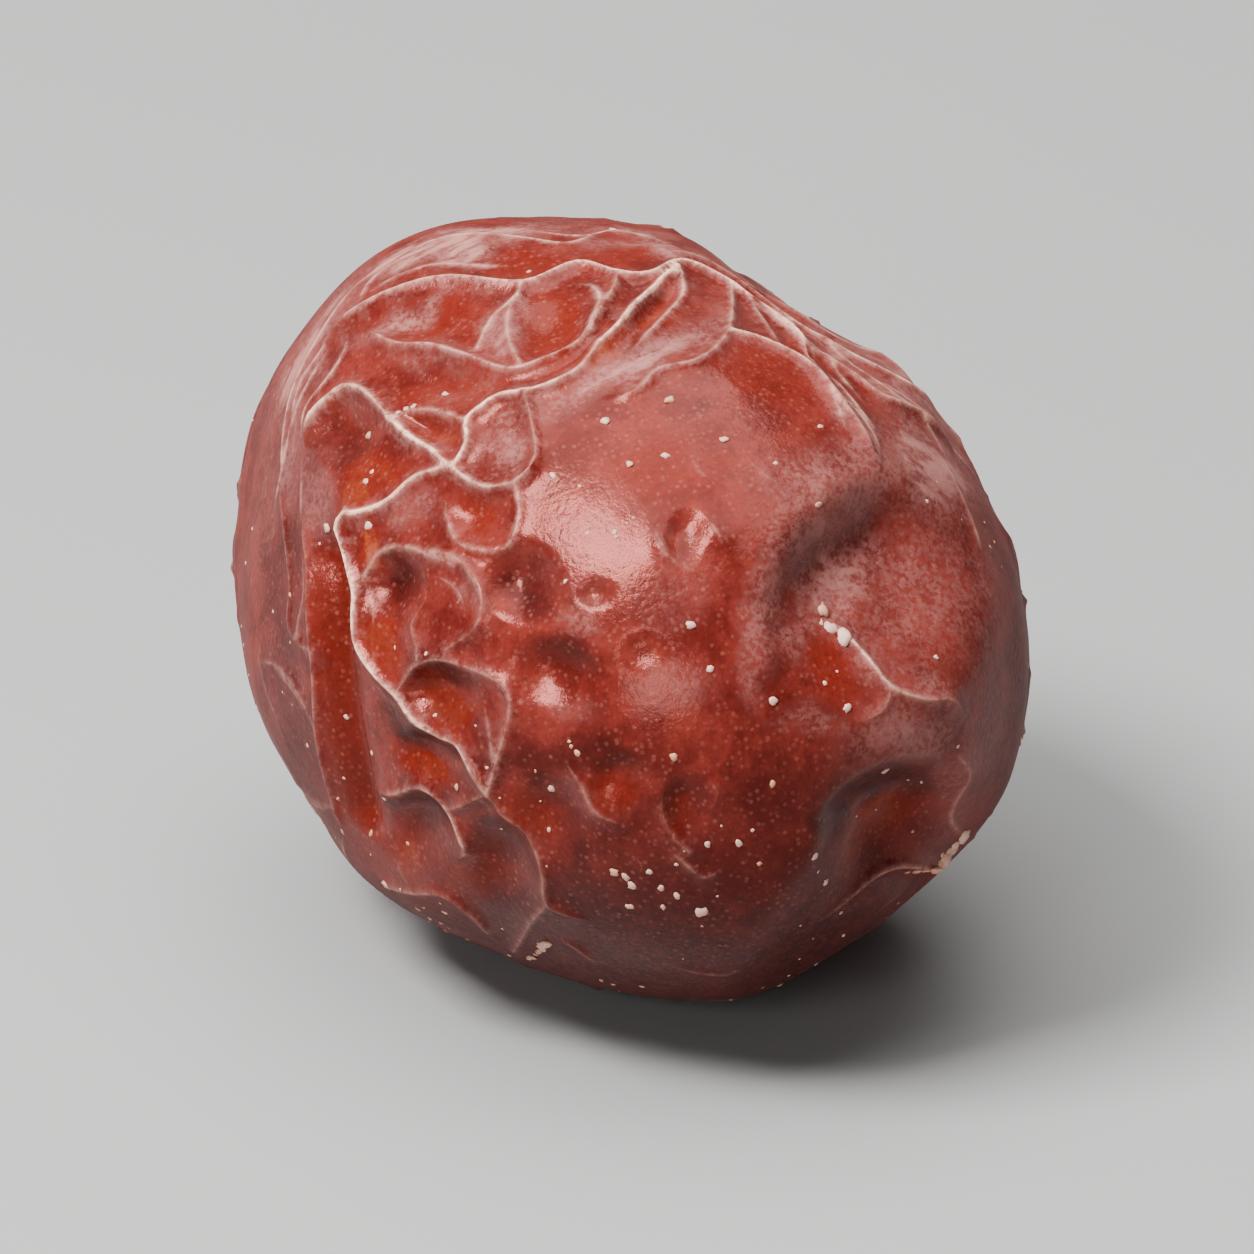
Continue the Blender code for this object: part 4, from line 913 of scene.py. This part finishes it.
def make_skin():
    """The skin, lying where the CAD node lies, and how far it was moved to lie there."""
    bpy.ops.mesh.primitive_ico_sphere_add(subdivisions=SPHERE_SUBDIVISIONS, radius=1)
    skin = bpy.context.object
    skin.name = "skin"
    mesh = skin.data
    mesh.name = "skin"
    folds, fine, strengths = skin_folds()
    points = placed(gathered(unit(vertex_places(mesh)), folds), fine)
    mesh.vertices.foreach_set("co", points.ravel())
    fewer = skin.modifiers.new("Fewer triangles", "DECIMATE")
    fewer.ratio = TRIANGLES / len(mesh.polygons)
    bpy.ops.object.modifier_apply(modifier=fewer.name)
    points = vertex_places(mesh)
    add_fields(mesh, unit(points @ np.array(TIP_TURN)), folds, strengths)
    low, high = (np.array(corner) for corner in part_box("jujube"))
    shift = (low + high - points.min(axis=0) - points.max(axis=0)) / 2
    shift[2] = -points[:, 2].min() - FLAT_DEPTH
    points += shift
    points[:, 2] = np.clip(points[:, 2], 0, None)
    mesh.vertices.foreach_set("co", points.ravel())
    mesh.shade_smooth()
    return skin, shift


def standing(directions, shift):
    """Places on the skin along unit directions and its normals there."""
    side = unit(np.cross(directions, SIDE_GUIDE))
    other = np.cross(directions, side)
    here = placed(directions)
    one = placed(unit(directions + NORMAL_STEP * side))
    two = placed(unit(directions + NORMAL_STEP * other))
    return here + shift, unit(np.cross(one - here, two - here))


def add_speck(specks, place, normal, width, length, turn, rng):
    """A little crust on the skin: an uneven flat drop, sunk halfway in."""
    turned = Vector(normal).to_track_quat("Z", "Y").to_matrix() @ Matrix.Rotation(turn, 3, "Z")
    made = bmesh.ops.create_icosphere(specks, subdivisions=2, radius=1)["verts"]
    lumps = rng.uniform(*SPECK_LUMP_PLACES, 3)
    for vert in made:
        uneven = 1 + SPECK_LUMPS * noise.noise(SPECK_LUMP_RATE * vert.co + Vector(lumps))
        flat = Vector((vert.co.x * length, vert.co.y * width, vert.co.z * SPECK_FLATNESS * width))
        vert.co = Vector(place) + turned @ (uneven * flat)


def in_scene(name, data):
    """A new object in the scene."""
    made = bpy.data.objects.new(name, data)
    bpy.context.scene.collection.objects.link(made)
    return made


def make_specks(shift):
    """The pale specks: those drawn in the view, and small ones scattered all over."""
    rng = np.random.default_rng(SPECK_SEED)
    specks = bmesh.new()
    shapes = [(rng.uniform(*SPECK_STRETCH), rng.uniform(*SPECK_TURN)) for _ in SPECKS]
    drawn = unit(on_body(np.array(SPECKS)[:, :2] * MM))
    for (*_, size), (stretch, turn), place, normal in zip(SPECKS, shapes, *standing(drawn, shift)):
        width = SPECK_SCALE * size * MM
        add_speck(specks, place, normal, width, stretch * width, turn, rng)
    for start, end, drawn in CRUSTS:
        line = drawn_line(drawn)
        sizes = np.linspace(start, end, len(line))
        for size, place, normal in zip(sizes, *standing(unit(line), shift)):
            width = size * rng.uniform(*CRUST_SIZE) * MM
            off = rng.normal(0, CRUST_SPREAD * width, 3)
            length = width * rng.uniform(*CRUST_STRETCH)
            add_speck(specks, place + off, normal, width, length, rng.uniform(*SPECK_TURN), rng)
    loose = scattered(SMALL_SPECKS, SMALL_SPECK_JITTER, rng)
    where = wander(loose * BODY_LENGTH / 2, SMALL_SPECK_LENGTH, SMALL_SPECK_PLACE)
    kept = loose[where - LOWER_HALF_SHARE * loose[:, 2] > 0]
    for place, normal in zip(*standing(kept, shift)):
        if place[2] > LOWEST_SPECK:
            width = rng.uniform(*SMALL_SPECK_SIZE)
            length = width * rng.uniform(*SMALL_SPECK_STRETCH)
            add_speck(specks, place, normal, width, length, rng.uniform(*SPECK_TURN), rng)
    mesh = bpy.data.meshes.new("specks")
    specks.to_mesh(mesh)
    specks.free()
    mesh.shade_smooth()
    return in_scene("specks", mesh)


def feed(socket, value):
    """Give a node's input a number, a colour or a field."""
    if isinstance(value, Field):
        value.tree.links.new(value.socket, socket)
    else:
        socket.default_value = value


class Field:
    """A value or a colour that varies over a surface: what a shader node gives out."""

    def __init__(self, tree, kind, output, inputs, **settings):
        made = tree.nodes.new(kind)
        for name, value in settings.items():
            setattr(made, name, value)
        for name, value in inputs.items():
            feed(made.inputs[name], value)
        self.tree = tree
        self.socket = made.outputs[output]

    def __mul__(self, other):
        return Field(self.tree, "ShaderNodeMath", 0, {0: self, 1: other}, operation="MULTIPLY")

    def __add__(self, other):
        return Field(self.tree, "ShaderNodeMath", 0, {0: self, 1: other}, operation="ADD")

    def ramp(self, low, high, to_low=0.0, to_high=1.0):
        """The value taken from the range low..high to another range, smoothly and within it."""
        return Field(self.tree, "ShaderNodeMapRange", "Result", {
            "Value": self, "From Min": low, "From Max": high, "To Min": to_low, "To Max": to_high,
        }, interpolation_type="SMOOTHSTEP")

    def mix(self, first, second):
        """The first colour where this share is 0, the second where it is 1, and between them."""
        return Field(self.tree, "ShaderNodeMix", 2, {0: self, 6: first, 7: second}, data_type="RGBA")

    def scaled(self, scale):
        return Field(self.tree, "ShaderNodeMapping", "Vector", {"Vector": self, "Scale": scale})

    def blotches(self, scale, detail=3, rough=0.5, warp=0.0):
        """Noise at these places, in features per millimetre."""
        return Field(self.tree, "ShaderNodeTexNoise", "Fac", {
            "Vector": self, "Scale": scale, "Detail": detail, "Roughness": rough, "Distortion": warp,
        })

    def dots(self, scale):
        """Small soft dots of uneven strength."""
        cells = {"Vector": self, "Scale": scale}
        near_middle = Field(self.tree, "ShaderNodeTexVoronoi", "Distance", cells).ramp(0.5, 0.15)
        return near_middle * Field(self.tree, "ShaderNodeTexVoronoi", "Color", cells).ramp(0.2, 0.8)


def place_in_mm(tree):
    return Field(tree, "ShaderNodeTexCoord", "Object", {}).scaled((1 / MM, 1 / MM, 1 / MM))


def attribute(tree, name):
    return Field(tree, "ShaderNodeAttribute", "Fac", {}, attribute_name=name)


def new_material(name):
    """A new material and its node tree."""
    material = bpy.data.materials.new(name)
    material.use_nodes = True
    return material, material.node_tree


def set_shader(tree, looks):
    """Feed inputs of a material's shader."""
    for name, value in looks.items():
        feed(tree.nodes["Principled BSDF"].inputs[name], value)


def skin_material():
    """Dried skin: red-brown, orange-red on the floors between folds, pale along crests, with a dull film
    that also paints highlights and sheen, and maroon that paints shade.
    """
    material, tree = new_material("jujube_skin")
    place = place_in_mm(tree)
    patchy = place.blotches(*PATCHY)
    grain = place.blotches(*GRAIN)
    mottle = place.blotches(*MOTTLE)
    streaks = place.scaled(STREAK_SHAPE).blotches(*STREAKS)
    bright = attribute(tree, "bright")
    floor = attribute(tree, "floor")

    colour = patchy.ramp(0.35, 0.65).mix(BASE_DEEP, BASE_LIT)
    red = floor.ramp(0.0, 1.0) * mottle.ramp(0.32, 0.6, 0.5, 1.0)
    colour = red.mix(colour, FLOOR_RED)
    orange = floor.ramp(0.9, 1.6) * mottle.ramp(0.3, 0.6)
    colour = orange.mix(colour, ORANGE)
    # Painted shade: maroon laid where the shade patches lie
    shade_and_maroon = attribute(tree, "shade_and_maroon") * mottle.ramp(0.3, 0.6, 0.6, 0.95)
    colour = shade_and_maroon.mix(colour, MAROON)
    colour = grain.ramp(0.46, 0.62, 0.0, 0.20).mix(colour, MAROON)
    # Pale film, which also paints highlights and sheen
    film_and_highlight = attribute(tree, "film_and_highlight") * mottle.ramp(0.35, 0.62, 0.45, 0.95)
    film_and_highlight = film_and_highlight * grain.ramp(0.38, 0.58, 0.30, 1.0)
    colour = film_and_highlight.mix(colour, FILM_AND_HIGHLIGHT_PINK)
    # The strongest film, streaky: bloom, and painted sheen along the outline
    bloom_and_sheen = attribute(tree, "film_and_highlight").ramp(0.85, 1.4) * streaks.ramp(0.42, 0.58, 0.1, 0.8)
    colour = bloom_and_sheen.mix(colour, BLOOM_AND_SHEEN_PINK)

    gap = attribute(tree, "gap") + grain.ramp(0.3, 0.7, -LINE_JITTER, LINE_JITTER)
    gap = gap + bright.ramp(0.2, 1.0, FAINT_LINE, 0.0)
    foot = gap.ramp(*FOOT_LINE_REACH) * mottle.ramp(0.38, 0.6, 0.25, 0.95)
    colour = (foot * bright.ramp(0.1, 0.8, 0.0, 0.9)).mix(colour, BLOOM_AND_SHEEN_PINK)
    halo = gap.ramp(*HALO_REACH) * mottle.ramp(0.42, 0.62, 0.0, 0.45)
    colour = (halo * bright).mix(colour, FILM_AND_HIGHLIGHT_PINK)
    stipple = place.dots(DOTS) * mottle.ramp(0.35, 0.6, 0.06, 0.24)
    colour = stipple.mix(colour, STIPPLE)
    line = gap.ramp(*LINE_REACH) * bright.ramp(0.45, 1.0, 0.10, 1.0)
    line = line * mottle.ramp(0.38, 0.58, 0.35, 1.0) * bright.ramp(0.0, 0.2)
    colour = line.mix(colour, CREST)
    colour = attribute(tree, "scar").mix(colour, SCAR)

    edge = Field(tree, "ShaderNodeLayerWeight", "Facing", {"Blend": 0.5})
    rough = film_and_highlight.ramp(0.0, 0.9, 0.20, 0.34) * mottle.ramp(0.3, 0.7, 0.9, 1.15)
    rough = rough + edge.ramp(0.35, 0.85, 0.0, 0.45)
    bump = Field(tree, "ShaderNodeBump", "Normal", {
        "Height": grain + mottle + patchy * 1.6, "Strength": BUMP_STRENGTH, "Distance": BUMP_DISTANCE,
    })
    set_shader(tree, {"Base Color": colour, "Roughness": rough, "Normal": bump, **SKIN_GLOSS})
    return material


def speck_material():
    """Pale, dry, slightly uneven crust."""
    material, tree = new_material("jujube_specks")
    place = place_in_mm(tree)
    colour = place.blotches(0.5, 1).ramp(0.35, 0.6).mix(SPECK_TAN, SPECK_PALE)
    rough = place.blotches(9.0).ramp(0.3, 0.7, 0.45, 0.7)
    set_shader(tree, {"Base Color": colour, "Roughness": rough})
    return material


def make_floor():
    bpy.ops.mesh.primitive_plane_add(size=FLOOR_SIZE, location=(0, 0, 0))
    floor = bpy.context.object
    floor.name = "floor"
    material, tree = new_material("floor")
    set_shader(tree, {"Base Color": FLOOR, "Roughness": FLOOR_ROUGHNESS})
    floor.data.materials.append(material)


def make_world():
    world = bpy.data.worlds.new("studio")
    bpy.context.scene.world = world
    world.use_nodes = True
    backdrop = world.node_tree.nodes["Background"]
    feed(backdrop.inputs["Color"], AIR)
    feed(backdrop.inputs["Strength"], AIR_STRENGTH)


def aim(made, place, back):
    """Put a light or the camera at a place, looking against the back direction."""
    made.location = place
    made.rotation_euler = back.to_track_quat("Z", "Y").to_euler()


def add_light(name, turn, elevation, width, height, power):
    """A soft light that faces the fruit."""
    lamp = bpy.data.lights.new(name, "AREA")
    lamp.shape = "RECTANGLE"
    lamp.size = width
    lamp.size_y = height
    lamp.energy = power
    back = Vector(view_axes(SIGHT_AZIMUTH + turn, elevation)[2])
    aim(in_scene(name, lamp), MIDDLE + LIGHT_DISTANCE * back, back)


def make_camera():
    lens = bpy.data.cameras.new("camera")
    lens.lens = lens.sensor_width * CAMERA_DISTANCE / CAMERA_WIDTH
    lens.clip_start = CAMERA_NEAR
    _, up, back = (Vector(axis) for axis in view_axes(SIGHT_AZIMUTH, SIGHT_ELEVATION))
    camera = in_scene("camera", lens)
    aim(camera, MIDDLE + CAMERA_UP * up + CAMERA_DISTANCE * back, back)
    bpy.context.scene.camera = camera


skin, shift = make_skin()
skin.data.materials.append(skin_material())
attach(skin, "root")
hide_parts("jujube")

specks = make_specks(shift)
specks.data.materials.append(speck_material())
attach(specks, "root")

make_floor()
make_world()
for name, light in LIGHTS.items():
    add_light(name, *light)
make_camera()
